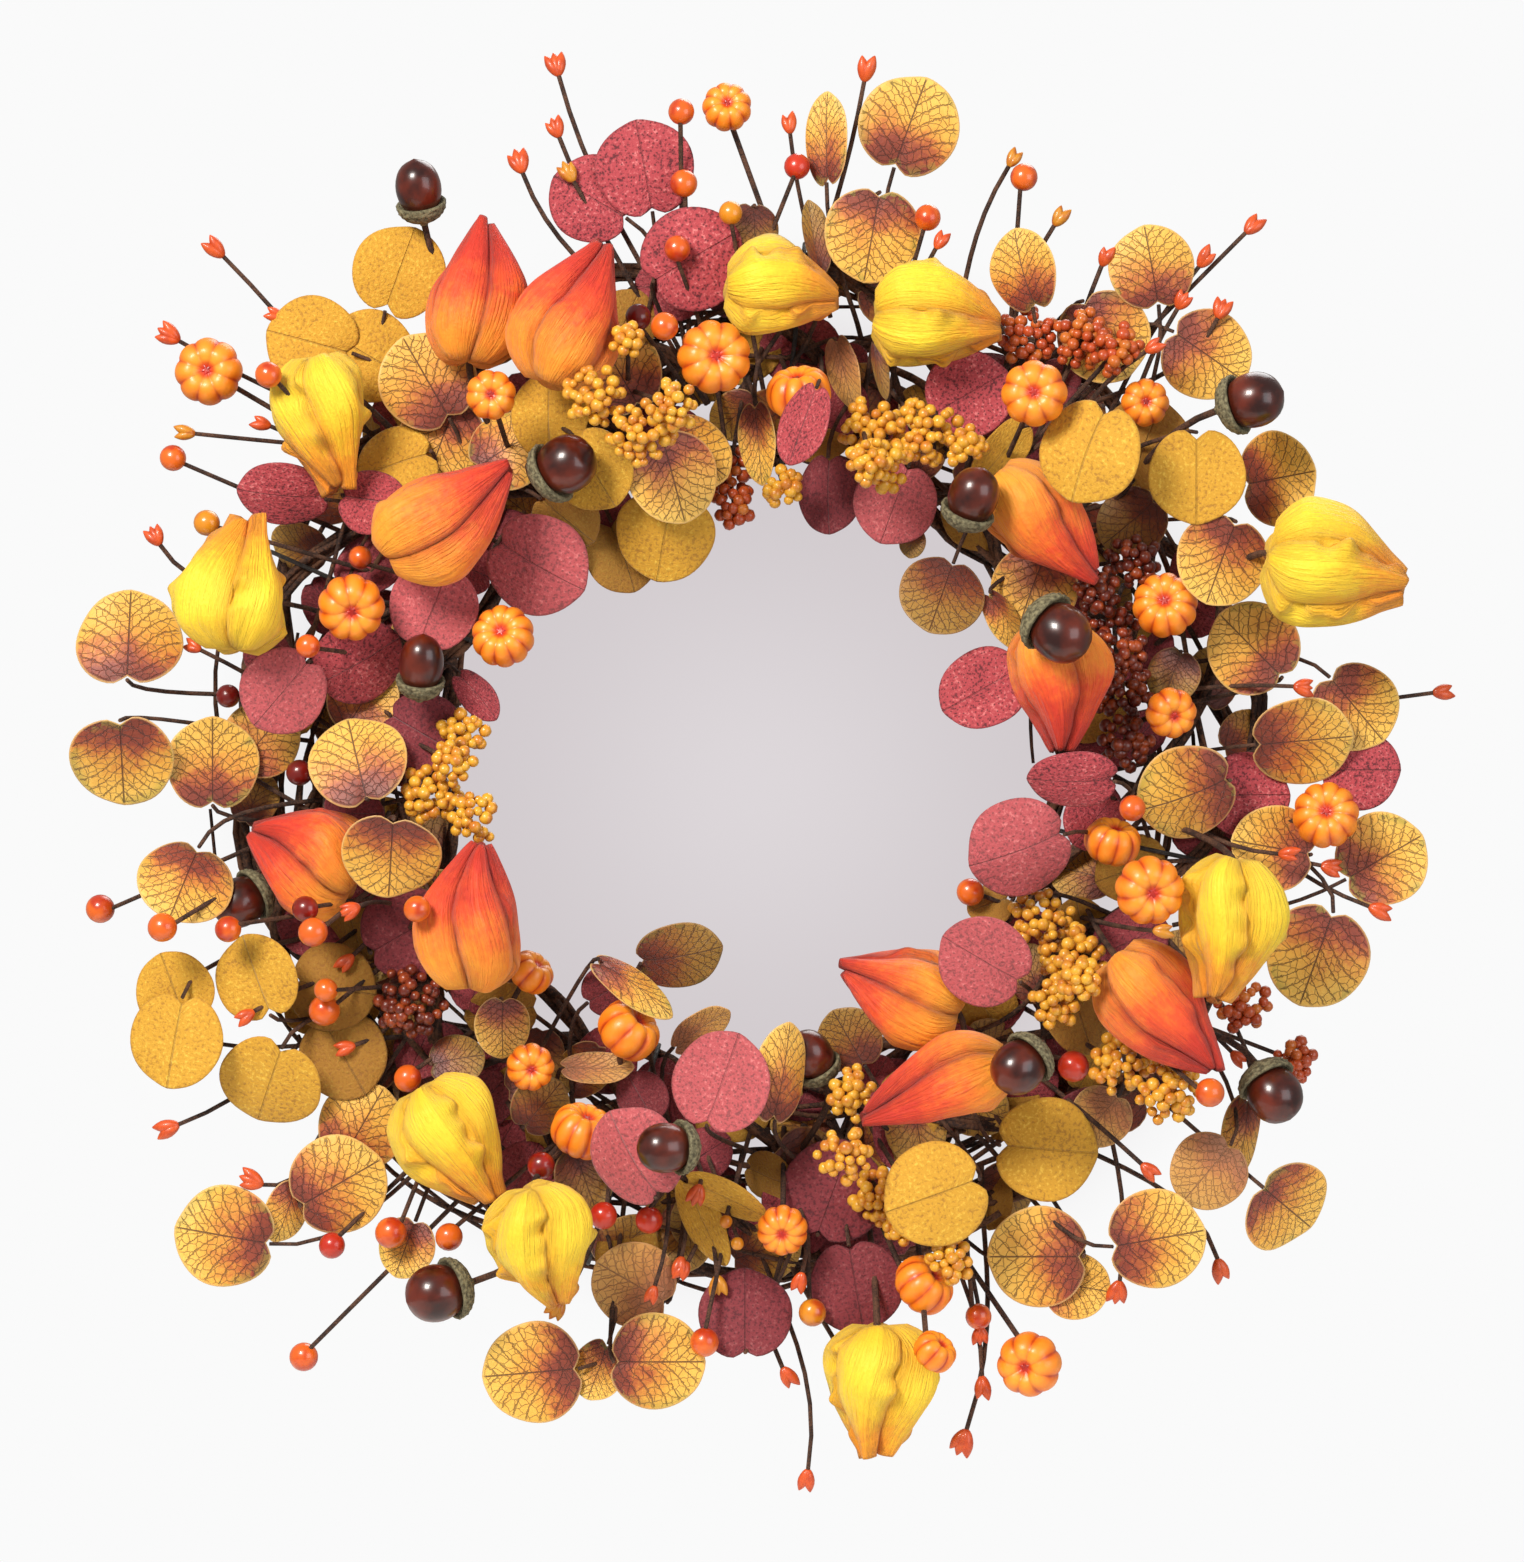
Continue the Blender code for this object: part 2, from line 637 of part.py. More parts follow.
class Wiring:
    """The wires laid so far, and the holes that they need in other sprays' leaves."""

    def __init__(self, pieces):
        self.pieces = pieces
        self.starts = []
        self.ends = []
        self.nodes = []
        self.paths = {}
        self.holes = {}

    def add(self, node, path):
        """Lays a wire for a node."""
        self.paths.setdefault(node, []).append(path)
        for start, end in zip(path, path[1:]):
            self.starts.append(np.array(start))
            self.ends.append(np.array(end))
            self.nodes.append(node)

    def near_wires(self, node, path):
        """How much too close a path comes to another node's wires, in metres."""
        other = [index for index, name in enumerate(self.nodes) if name != node]
        if not other:
            return 0.0
        starts = np.array([self.starts[index] for index in other])
        ends = np.array([self.ends[index] for index in other])
        least = 2 * WIRE_RADIUS + WIRE_GAP
        worst = 0.0
        for start, end in zip(path, path[1:]):
            worst = max(worst, least - segment_gaps(start, end, starts, ends).min())
        return worst

    def crossed(self, node, path):
        """Other nodes' pieces that a path runs through."""
        found = []
        for start, end in zip(path, path[1:]):
            steps = max(1, int((end - start).length / CELL))
            level = abs(end.y - start.y) < 1e-6
            if level and -start.y < STACK_FLOOR:
                continue
            for step in range(steps + 1):
                point = start.lerp(end, step / steps)
                for piece in self.pieces:
                    if piece.node == node or piece in found:
                        continue
                    span = piece.span_at(point.x, point.z)
                    if span and span[0] - WIRE_RADIUS < -point.y < span[1] + WIRE_RADIUS:
                        found.append(piece)
        return found

    def cost(self, node, path):
        """(how bad a path is, the leaves that it pierces)."""
        total = 1e5 * self.near_wires(node, path)
        pierced = self.crossed(node, path)
        for piece in pierced:
            total += 1.0 if piece.kind == "leaf" else 1e3
        return total + 5 * (path[-1] - path[0]).length, pierced

    def lay(self, node, paths):
        """Lays the best of several paths and notes the holes that it needs."""
        best, pierced = None, []
        least = math.inf
        for path in paths:
            value, through = self.cost(node, path)
            if value < least:
                best, pierced, least = path, through, value
        for piece in pierced:
            self.holes.setdefault(id(piece), []).append(best)
        self.add(node, best)
        return best


def candidate_spots(piece):
    """Places behind a piece where its wire can come up, from its middle outwards."""
    inner, outer = (0.0, 0.8) if piece.kind == "leaf" else (0.0, 0.5)
    low = piece.low * CELL
    size = np.array(piece.back.shape) * CELL
    middle = np.array([piece.spot.x, piece.spot.z])
    reach = size.min() / 2 - CELL
    spots = []
    for share in np.linspace(inner, outer, 5):
        for step in range(1 if share == 0 else 10):
            turn = 2 * math.pi * step / 10 + share
            spots.append(middle + reach * share * np.array([math.cos(turn), math.sin(turn)]))
    return [spot for spot in spots if (spot > low).all()]


def wire_paths(piece, starts, band, joined=()):
    """Paths straight from a joined piece behind, or along a band from a near start and then forward."""
    paths = []
    for x, z in candidate_spots(piece):
        height = piece.inside_height(x, z)
        if height is None:
            continue
        corner = Vector((x, -band, z))
        end = Vector((x, -height, z))
        for other in joined:
            below = other.inside_height(x, z)
            if below is not None and below < height and other.firm_at(x, z):
                paths.append([Vector((x, -below, z)), end])
        nearest = sorted(starts, key=lambda start: (start - corner).length)[:NEAR_STARTS]
        paths += [[start, corner, end] for start in nearest if (start - corner).length > WIRE_RADIUS]
    return paths


def vine_place(vine, clock):
    """(reach, height) of a vine's middle at a clock."""
    phase = math.pi + 2 * math.pi * vine / VINE_COUNT + math.radians(clock) * VINE_TURNS
    return (
        RING_RADIUS + RING_HALF_WIDTH * math.cos(phase),
        RING_HALF_DEPTH * math.sin(phase),
    )


def stem_foot(clock):
    """A stem's first two points: on the vine that runs nearest the front at a clock, and in its band."""
    places = [vine_place(vine, clock) for vine in range(VINE_COUNT)]
    reach, height = max(places, key=lambda place: place[1])
    foot = ring_point(clock, reach, height + VINE_RADIUS + GAP)
    return foot, ring_point(clock, reach, LANTERN_BAND)


def lay_lantern_wires(wiring, lanterns):
    """Gives each lantern a stem that runs back to the ring and down onto a vine."""
    for piece in lanterns:
        paths = []
        for shift in FOOT_SHIFTS:
            foot, root = stem_foot(piece.clock + shift)
            paths += [[foot] + path for path in wire_paths(piece, [root], LANTERN_BAND)]
        wiring.lay(piece.node, paths)


def hook_path(clock, band):
    """From just inside a pick's root over the outside of the ring and round behind it."""
    outside = RING_RADIUS + RING_HALF_WIDTH + VINE_RADIUS + WIRE_RADIUS + GAP
    behind = VINE_FRONT + WIRE_RADIUS + GAP
    return [
        ring_point(clock, RING_RADIUS - ROOT_TAIL, band),
        ring_point(clock, outside, band),
        ring_point(clock, outside, -behind),
        ring_point(clock, RING_RADIUS, -behind),
    ]


def lay_pick_wires(wiring, pieces, prefix, offset, band):
    """Gives each spray or pick its hook, then a wire to each of its pieces."""
    step = 360 / SECTORS
    for sector in range(1, SECTORS + 1):
        node = f"{prefix}_{sector:02d}"
        own = [piece for piece in pieces if piece.node == node]
        if not own:
            continue
        middle = (sector - 0.5) * step - offset
        hooks = [hook_path(middle + shift, band) for shift in HOOK_SHIFTS]
        hook = wiring.lay(node, hooks)
        starts = [hook[0] + (hook[1] - hook[0]).normalized() * ROOT_TAIL]
        joined = []
        for piece in sorted(own, key=lambda piece: piece.height):
            path = wiring.lay(node, wire_paths(piece, starts, band, joined))
            joined.append(piece)
            if len(path) > 2:
                starts.append(path[1])


def wire_section():
    """The three-sided section of a pick's wire, as a hidden guide curve."""
    section = bpy.data.curves.new("wire_section", "CURVE")
    spline = section.splines.new("POLY")
    spline.points.add(2)
    for number, point in enumerate(spline.points):
        turn = 2 * math.pi * number / 3
        point.co = (WIRE_RADIUS * math.cos(turn), WIRE_RADIUS * math.sin(turn), 0, 1)
    spline.use_cyclic_u = True
    thing = bpy.data.objects.new("wire_section", section)
    bpy.context.scene.collection.objects.link(thing)
    thing.hide_render = True
    thing.display_type = "WIRE"
    return thing


def tube(points, radius, closed=False, section=None):
    """A wire through points, as a mesh: four-sided, or with a section of its own."""
    curve = bpy.data.curves.new("wire", "CURVE")
    curve.dimensions = "3D"
    if section:
        curve.bevel_mode = "OBJECT"
        curve.bevel_object = section
    else:
        curve.bevel_depth = radius
        curve.bevel_resolution = 0
    curve.use_fill_caps = True
    spline = curve.splines.new("POLY")
    spline.points.add(len(points) - 1)
    for target, point in zip(spline.points, points):
        target.co = (*point, 1.0)
    if not closed:
        spline.points[0].radius = JOINED_END
    spline.use_cyclic_u = closed
    thing = bpy.data.objects.new("wire", curve)
    bpy.context.scene.collection.objects.link(thing)
    graph = bpy.context.evaluated_depsgraph_get()
    mesh = bpy.data.meshes.new_from_object(thing.evaluated_get(graph))
    bpy.data.objects.remove(thing)
    shape = bmesh.new()
    shape.from_mesh(mesh)
    bmesh.ops.remove_doubles(shape, verts=shape.verts, dist=1e-6)
    bmesh.ops.recalc_face_normals(shape, faces=shape.faces)
    shape.to_mesh(mesh)
    shape.free()
    return mesh


def shells(shape):
    """The faces of a bmesh, grouped into closed shells."""
    seen = set()
    groups = []
    for seed in shape.faces:
        if seed in seen:
            continue
        seen.add(seed)
        group = [seed]
        for face in group:
            pairs = [edge.link_faces for edge in face.edges if len(edge.link_faces) == 2]
            fresh = {other for pair in pairs for other in pair} - seen
            seen |= fresh
            group += fresh
        groups.append(group)
    return groups


def clear_specks(mesh):
    """Deletes the stray shells, far smaller than any piece, that a union leaves."""
    shape = bmesh.new()
    shape.from_mesh(mesh)
    bmesh.ops.triangulate(shape, faces=shape.faces)
    for group in shells(shape):
        hub = group[0].verts[0].co
        volume = sum(
            (face.calc_center_median() - hub).dot(face.normal) * face.calc_area() / 3 for face in group
        )
        if abs(volume) < SPECK:
            bmesh.ops.delete(shape, geom=group, context="FACES")
    shape.to_mesh(mesh)
    shape.free()


def mesh_of(shape):
    """A mesh from a bmesh."""
    mesh = bpy.data.meshes.new("piece")
    shape.to_mesh(mesh)
    return mesh


def helper(mesh, collection):
    """A hidden object in a cutter collection."""
    thing = bpy.data.objects.new("helper", mesh)
    collection.objects.link(thing)
    thing.hide_render = True
    thing.display_type = "WIRE"
    return thing


def boolean(mesh, operands, operation):
    """The mesh joined with, or cut by, other meshes."""
    tools = bpy.data.collections.new("cutters")
    bpy.context.scene.collection.children.link(tools)
    body = helper(mesh, tools)
    group = bpy.data.collections.new("operands")
    tools.children.link(group)
    for operand in operands:
        helper(operand, group)
    step = body.modifiers.new("join", "BOOLEAN")
    step.operation = operation
    step.operand_type = "COLLECTION"
    step.collection = group
    step.solver = "EXACT"
    graph = bpy.context.evaluated_depsgraph_get()
    result = bpy.data.meshes.new_from_object(body.evaluated_get(graph))
    for thing in list(tools.all_objects):
        bpy.data.objects.remove(thing, do_unlink=True)
    bpy.data.collections.remove(group)
    bpy.data.collections.remove(tools)
    return result


def pierced_mesh(piece, wiring):
    """A piece's mesh, with a clear hole for each foreign wire that runs through it."""
    mesh = mesh_of(piece.shape)
    paths = wiring.holes.get(id(piece), [])
    if not paths:
        return mesh
    cutters = []
    for path in paths:
        shape = bmesh.new()
        bmesh.ops.create_cone(
            shape,
            cap_ends=True,
            segments=6,
            radius1=WIRE_RADIUS * 1.2 + GAP,
            radius2=WIRE_RADIUS * 1.2 + GAP,
            depth=0.2,
        )
        bmesh.ops.rotate(shape, verts=shape.verts, matrix=Matrix.Rotation(math.pi / 2, 3, "X"))
        bmesh.ops.translate(shape, verts=shape.verts, vec=(path[-1].x, 0, path[-1].z))
        cutters.append(mesh_of(shape))
        shape.free()
    return boolean(mesh, cutters, "DIFFERENCE")


LOOKS = {
    "orange": ("orange_foam", (0.91, 0.29, 0.04), 0.6),
    "yellow": ("yellow_foam", (0.93, 0.56, 0.03), 0.6),
    "leaf": ("leaf_fabric", (0.55, 0.25, 0.04), 0.75),
    "harvest": ("harvest_pick", (0.62, 0.12, 0.02), 0.35),
    "vine": ("vine", (0.06, 0.03, 0.02), 0.85),
    "tie": ("tie_wire", (0.05, 0.04, 0.03), 0.5),
}


def look_for(name):
    """The material of a node, from the first word of its name."""
    label, colour, roughness = LOOKS[name.split("_")[0]]
    return material(label, colour, roughness, 0.9 if label == "tie_wire" else 0.0)


def build_picks(collection, pieces, wiring):
    """Joins each node's pieces and wires into one body."""
    section = wire_section()
    for node in sorted({piece.node for piece in pieces}):
        wires = [tube(path, WIRE_RADIUS, section=section) for path in wiring.paths[node]]
        own = [pierced_mesh(piece, wiring) for piece in pieces if piece.node == node]
        joined = boolean(wires[0], wires[1:] + own, "UNION")
        clear_specks(joined)
        finish_object(node, joined, look_for(node), collection)
    bpy.data.objects.remove(section)


def build_vines(collection):
    """The ring: closed vines that twist round one another without touching."""
    for vine in range(VINE_COUNT):
        points = []
        for step in range(VINE_POINTS):
            clock = 360 * step / VINE_POINTS
            reach, height = vine_place(vine, clock)
            points.append(ring_point(clock, reach, height))
        name = f"vine_{vine + 1}"
        finish_object(name, tube(points, VINE_RADIUS, closed=True), look_for(name), collection)


def tie_points(clock):
    """The corners of a wire loop round the vines at a clock."""
    clear = VINE_RADIUS + GAP + TIE_RADIUS
    points = []
    for step in range(12):
        turn = 2 * math.pi * step / 12
        reach = RING_RADIUS + (RING_HALF_WIDTH + clear) / math.cos(math.pi / 12) * math.cos(turn)
        height = (RING_HALF_DEPTH + clear) / math.cos(math.pi / 12) * math.sin(turn)
        points.append(ring_point(clock, reach, height))
    return points


def build_ties(collection):
    """Wire loops that hold the vines together."""
    for number, clock in enumerate(TIE_CLOCKS, 1):
        name = f"tie_wire_{number}"
        loop = tube(tie_points(clock), TIE_RADIUS, closed=True)
        finish_object(name, loop, look_for(name), collection)


def main():
    """Builds the wreath."""
    collection = start_scene()
    build_vines(collection)
    build_ties(collection)
    pieces = settled_pieces()
    wiring = Wiring(pieces)
    for number, clock in enumerate(TIE_CLOCKS, 1):
        points = tie_points(clock)
        wiring.add(f"tie_wire_{number}", points + points[:1])
    lay_pick_wires(wiring, pieces, "leaf_spray", 0.0, SPRAY_BAND)
    lay_pick_wires(wiring, pieces, "harvest_pick", 180 / SECTORS, PICK_BAND)
    lay_lantern_wires(wiring, [piece for piece in pieces if piece.kind == "lantern"])
    build_picks(collection, pieces, wiring)


main()
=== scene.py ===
"""Looks of the harvest door wreath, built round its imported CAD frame.

The front faces -Y and +Z is up. Clock is in degrees clockwise from the top, as seen from the front. Reach
is the distance from the middle of the ring in millimetres. Height is the distance in front of the ring's
mid-plane. Heading is the clock direction that a tip points to.
"""

import logging
import math
from dataclasses import dataclass, field
from enum import Enum
from functools import partial
from typing import Any, Sequence

import bpy
import numpy as np
from mathutils import Matrix, Vector


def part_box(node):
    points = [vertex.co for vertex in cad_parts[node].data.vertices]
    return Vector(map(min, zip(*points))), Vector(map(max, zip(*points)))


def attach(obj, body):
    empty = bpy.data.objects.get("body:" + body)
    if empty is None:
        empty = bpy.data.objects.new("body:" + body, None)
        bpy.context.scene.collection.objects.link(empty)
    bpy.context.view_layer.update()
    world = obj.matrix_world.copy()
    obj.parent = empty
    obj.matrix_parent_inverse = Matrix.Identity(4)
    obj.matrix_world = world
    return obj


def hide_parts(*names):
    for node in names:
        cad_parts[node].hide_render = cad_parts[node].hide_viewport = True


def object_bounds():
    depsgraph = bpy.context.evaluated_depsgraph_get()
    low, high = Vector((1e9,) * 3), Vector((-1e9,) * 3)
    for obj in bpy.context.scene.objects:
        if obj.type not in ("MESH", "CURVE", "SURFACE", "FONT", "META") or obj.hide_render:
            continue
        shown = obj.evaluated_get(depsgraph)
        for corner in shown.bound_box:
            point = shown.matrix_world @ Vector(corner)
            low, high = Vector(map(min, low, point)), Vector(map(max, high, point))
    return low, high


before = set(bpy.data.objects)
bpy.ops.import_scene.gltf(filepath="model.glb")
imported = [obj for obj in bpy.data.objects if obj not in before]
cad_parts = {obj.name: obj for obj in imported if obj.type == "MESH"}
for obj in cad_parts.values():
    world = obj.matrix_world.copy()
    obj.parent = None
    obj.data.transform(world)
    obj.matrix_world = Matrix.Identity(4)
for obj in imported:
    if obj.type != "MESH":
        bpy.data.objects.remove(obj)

LOG = logging.getLogger("wreath")
CAD_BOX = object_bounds()
MM = 0.001
SEED = 11
GOLDEN = math.radians(137.5)
Row = tuple[float, ...]

# Veined leaves: clock, reach, length, width, heading, layer, shade (1 darkened with painted shade, -1 pale).
VEINED: tuple[Row, ...] = (
    (7, 240, 37, 16, 0, 3, 0), (14, 251.5, 39, 39, 20, 4, 0), (13, 208, 37, 37, 190, 3, 0),
    (13.5, 154.5, 30, 12, 165, 5, -1), (1.5, 123, 33, 14, 175, 4, 0), (29, 214.5, 33, 24, 345, 5, 0),
    (39, 244, 33, 33, 350, 5, 0), (39.5, 212.5, 36, 36, 150, 3, 0), (48, 234.5, 35, 35, 125, 4, 0),
    (61.5, 229, 28, 37, 80, 5, 0), (66.5, 194.5, 35, 35, 200, 6, 0), (48.5, 97.5, 30, 33, 200, 5, 1),
    (58, 127, 35, 33, 200, 3, 0), (77, 197, 36, 36, 315, 4, 0), (84.5, 232, 34, 34, 140, 4, 0),
    (87.5, 210, 40, 33, 85, 5, 0), (94, 167, 39, 35, 250, 6, 0), (99, 203, 33, 33, 280, 4, 0),
    (98.5, 244, 36, 36, 60, 5, 0), (108.5, 228.5, 40, 40, 200, 5, 0), (127, 236, 35, 15, 190, 3, 0),
    (129.5, 264.5, 27, 38, 130, 4, 0), (131.5, 233, 30, 30, 220, 4, -1), (135, 190, 24, 24, 220, 3, -1),
    (139.5, 237, 38, 38, 80, 5, 0), (149.5, 218, 39, 39, 270, 6, 0), (148, 235, 26, 26, 100, 4, 0),
    (160, 112, 26, 25, 330, 3, 1), (174, 118.5, 40, 20, 10, 5, 0), (191, 103, 27, 13, 55, 4, -1),
    (189, 230, 37, 37, 90, 5, 0), (199.5, 246, 39, 39, 265, 5, 0), (192.5, 203.5, 33, 33, 300, 4, -1),
    (215.5, 226, 24, 22, 200, 3, 0), (200.5, 78, 34, 25, 80, 6, 1), (208, 94, 38, 13, 126, 6, 0),
    (207, 130, 29, 12, 90, 5, -1), (224.5, 224.5, 38, 38, 60, 5, 0), (228, 268.5, 39, 39, 280, 5, 0),
    (226, 245.5, 25, 16, 200, 3, 0), (227, 203, 34, 34, 30, 3, 0), (223.5, 137.5, 24, 21, 180, 4, 0),
    (256, 139, 31, 38, 185, 6, 0), (258.5, 218, 30, 37, 200, 5, 0), (270.5, 148.5, 34, 38, 345, 6, 0),
    (270, 205, 36, 35, 0, 6, 0), (270.5, 238.5, 34, 40, 180, 7, 0), (281.5, 241.5, 37, 41, 0, 5, 0),
    (273, 187, 30, 30, 40, 4, 0), (320, 191, 38, 38, 330, 4, 0), (316.5, 171, 34, 34, 200, 3, 0),
    (322.5, 152, 32, 30, 60, 4, 0), (341.5, 157.5, 36, 33, 330, 5, 0), (345, 113, 36, 34, 165, 5, 0),
    (7, 202, 30, 10, 350, 2, 1), (0.5, 204, 22, 20, 180, 1, 1), (18, 159, 24, 6, 170, 5, 1),
    (57.5, 173, 28, 26, 230, 2, 1), (60, 112, 26, 12, 150, 3, 0), (78, 165, 22, 20, 200, 2, 1),
    (194, 238, 24, 20, 200, 3, 0), (211.5, 153, 24, 22, 40, 3, 1), (202, 169.5, 26, 22, 160, 2, 1),
    (225, 159, 22, 20, 80, 2, 1), (279.5, 149.5, 30, 28, 30, 4, 0), (349, 121, 34, 30, 120, 4, 0),
    (36, 105, 12, 10, 190, 3, 1),
)
# Mustard leaves: clock, reach, length, width, heading, layer, shade (1 darkened with painted shade, -1 pale).
MUSTARD: tuple[Row, ...] = (
    (47, 173, 40, 37, 200, 7, 0), (39, 152.5, 34, 16, 220, 5, 0), (51, 194, 36, 36, 20, 2, 1),
    (57, 201, 37, 37, 180, 6, 0), (127, 157, 32, 26, 160, 3, 1), (142.5, 185, 40, 40, 95, 7, 0),
    (156.5, 177, 40, 40, 250, 7, 0), (186, 174.5, 39, 15, 155, 6, 0), (183.5, 164.5, 36, 13, 115, 6, 0),
    (236.5, 219, 33, 40, 200, 6, 0), (234.5, 191, 34, 34, 150, 3, 1), (246.5, 204, 34, 32, 340, 5, 0),
    (244.5, 241.5, 37, 36, 190, 6, 0), (248.5, 235, 30, 30, 340, 5, 0), (242, 181, 34, 34, 100, 3, 1),
    (310.5, 177, 32, 30, 250, 3, 0), (324.5, 231, 36, 36, 20, 4, 0), (314, 232, 36, 36, 285, 5, 0),
    (317, 213.5, 36, 36, 300, 3, 0), (330, 153, 34, 30, 0, 4, 0), (332, 126, 32, 30, 150, 5, 0),
    (329, 94, 30, 28, 160, 3, 1), (339.5, 92.5, 34, 38, 190, 4, 0), (120, 106, 18, 16, 250, 3, 1),
    (323, 117, 28, 24, 130, 3, 1),
)
# Burgundy leaves: clock, reach, length, width, heading, layer, shade (1 darkened with painted shade, -1 pale).
BURGUNDY: tuple[Row, ...] = (
    (9, 130, 33, 18, 200, 6, 0), (16, 108, 31, 24, 180, 4, 1), (30.5, 164, 34, 34, 60, 4, 0),
    (29, 114.5, 33, 32, 200, 4, -1), (72, 93.5, 35, 30, 240, 3, 0), (93.5, 190, 33, 33, 90, 2, 0),
    (90.5, 233, 31, 31, 90, 2, 0), (93, 122.5, 35, 21, 270, 6, 0), (107.5, 107.5, 40, 37, 250, 6, -1),
    (130, 115.5, 36, 34, 300, 6, -1), (168.5, 203, 36, 36, 170, 5, 1), (169, 166.5, 40, 40, 20, 4, 1),
    (185, 121, 39, 37, 20, 6, -1), (180.5, 209, 34, 36, 0, 4, 1), (196.5, 155, 39, 34, 330, 6, -1),
    (244, 146, 36, 36, 60, 3, 1), (279, 178.5, 34, 32, 220, 6, -1), (284.5, 153.5, 36, 30, 60, 4, 0),
    (275.5, 125.5, 32, 30, 120, 4, 1), (284.5, 107.5, 24, 13, 140, 5, 0), (296.5, 134, 34, 34, 20, 5, -1),
    (300, 205, 36, 23, 275, 4, 0), (305, 175, 27, 25, 100, 4, 0), (313, 111, 40, 38, 120, 6, -1),
    (344.5, 224.5, 34, 34, 300, 3, 0), (350, 231, 38, 38, 350, 4, 0), (353.5, 194, 40, 40, 60, 4, 0),
    (99, 133.5, 25, 24, 220, 4, 0), (212, 101.5, 22, 20, 60, 2, 1), (198, 134, 22, 20, 330, 3, 1),
    (263, 153, 24, 22, 90, 2, 1), (329, 113, 30, 28, 170, 2, 1),
)
# Orange pods: clock, reach, length, width, heading, layer.
ORANGE_PODS: tuple[Row, ...] = (
    (330, 207, 56, 41, 5, 5), (339, 181, 58, 42, 20, 6), (310, 149, 58, 42, 55, 6),
    (258, 174, 46, 42, 300, 5), (241, 118, 56, 42, 5, 6), (51, 144, 54, 37, 135, 5),
    (75.5, 118.5, 48, 41, 175, 5), (146, 103, 48, 38, 290, 5), (150, 142, 58, 33, 250, 6),
    (121, 182, 58, 39, 140, 6),
)
# Yellow pods: the same columns.
YELLOW_PODS: tuple[Row, ...] = (
    (309, 206, 52, 43, 170, 5), (289.5, 203, 52, 47, 5, 6), (4, 179, 44, 43, 95, 6),
    (23, 183, 50, 46, 95, 6), (71.5, 232, 54, 49, 105, 6), (109, 188, 54, 44, 190, 6),
    (218, 182, 50, 44, 150, 6), (203, 197, 48, 46, 165, 6), (168.5, 242, 50, 46, 180, 6),
)
# Small pumpkins: clock, reach, diameter, eye to the front (1) or up (0), layer.
PUMPKINS: tuple[Row, ...] = (
    (306, 255, 26, 1, 5), (358, 251, 19, 1, 5), (325, 169, 19, 1, 6), (355, 154, 28, 1, 6),
    (7.5, 142, 25, 0, 5), (37.5, 175, 25, 1, 7), (47.5, 204, 18.5, 1, 6), (291.5, 161.5, 25.5, 1, 6),
    (297.5, 105, 24, 1, 7), (69, 168.5, 25, 1, 5), (83, 160.5, 19.5, 1, 6), (95, 220, 25.5, 1, 6),
    (107.5, 156, 26, 1, 6), (102, 141, 22, 0, 4), (216, 142, 18.5, 1, 6), (204.5, 111, 25, 0, 5),
    (204.5, 153, 25, 0, 5), (176, 177, 19.5, 1, 7), (161.5, 208.5, 24, 0, 5), (162.5, 232, 17, 0, 6),
    (155, 252, 25, 1, 6), (226.5, 115, 18, 0, 5),
)
# Acorns: clock, reach, nut diameter, length with the cap, heading of the nut's tip, layer.
ACORNS: tuple[Row, ...] = (
    (330, 252, 17.5, 25, 352, 5), (328, 132, 22, 26, 60, 7), (54, 232.5, 21, 26, 75, 6),
    (40, 129.5, 19, 25, 20, 5), (66.5, 125, 22, 27, 130, 7), (286.5, 129.5, 17, 26, 5, 7),
    (255, 200, 19, 24, 240, 3), (192, 146.5, 19, 24, 270, 8), (168, 114, 17, 23, 330, 4),
    (138, 151.5, 20, 24, 230, 7), (122, 234, 21, 25, 150, 6), (210.5, 232, 22, 26, 255, 6),
)
# Berries: clock, reach, diameter, layer, colour (-1 ochre, 0 orange, 1 red, 2 dark red).
BERRIES: tuple[Row, ...] = (
    (309, 233, 10, 7, 0), (354, 250, 10, 6, 0), (353.5, 223, 10.5, 6, 0), (352, 198, 10, 6, 0),
    (349, 167.5, 10.5, 6, 0), (4.5, 229, 10, 6, 1), (18, 219, 10, 5, 0), (25, 247.5, 10.5, 5, 0),
    (298, 249.5, 10, 5, 0), (294, 227, 10, 5, -1), (277.5, 201, 9, 5, 2), (269, 172, 10, 5, 2),
    (257.5, 254, 11, 5, 0), (254.5, 229.5, 11, 6, 0), (252.5, 206.5, 10, 5, 0), (252, 176, 10, 7, 2),
    (249, 175.5, 11, 8, 0), (246.5, 135.5, 10, 6, 0), (240, 187, 12, 7, 0), (227.5, 177, 10.5, 5, 0),
    (221, 242.5, 10, 5, 1), (217, 283, 11, 5, 0), (217.5, 224.5, 12, 6, 0), (212.5, 213, 10.5, 5, 0),
    (207.5, 171, 10.5, 5, 2), (198, 180.5, 10.5, 5, 1), (192.5, 178, 10.5, 5, 1), (184.5, 220, 11, 6, 0),
    (173.5, 210, 10.5, 6, -1), (157.5, 228, 10, 6, 0), (125.5, 211.5, 11, 7, 0), (96.5, 145, 10, 6, 0),
    (120, 97, 10.5, 5, 0), (285, 172, 9, 7, 0), (298, 168.5, 9, 5, 0), (358, 210, 9, 5, -1),
    (346, 175, 10, 5, 2), (242, 182, 9, 7, 0), (133, 168, 12, 4, 1), (183, 174, 5, 7, -1),
    (181.5, 182, 5, 7, -1),
)
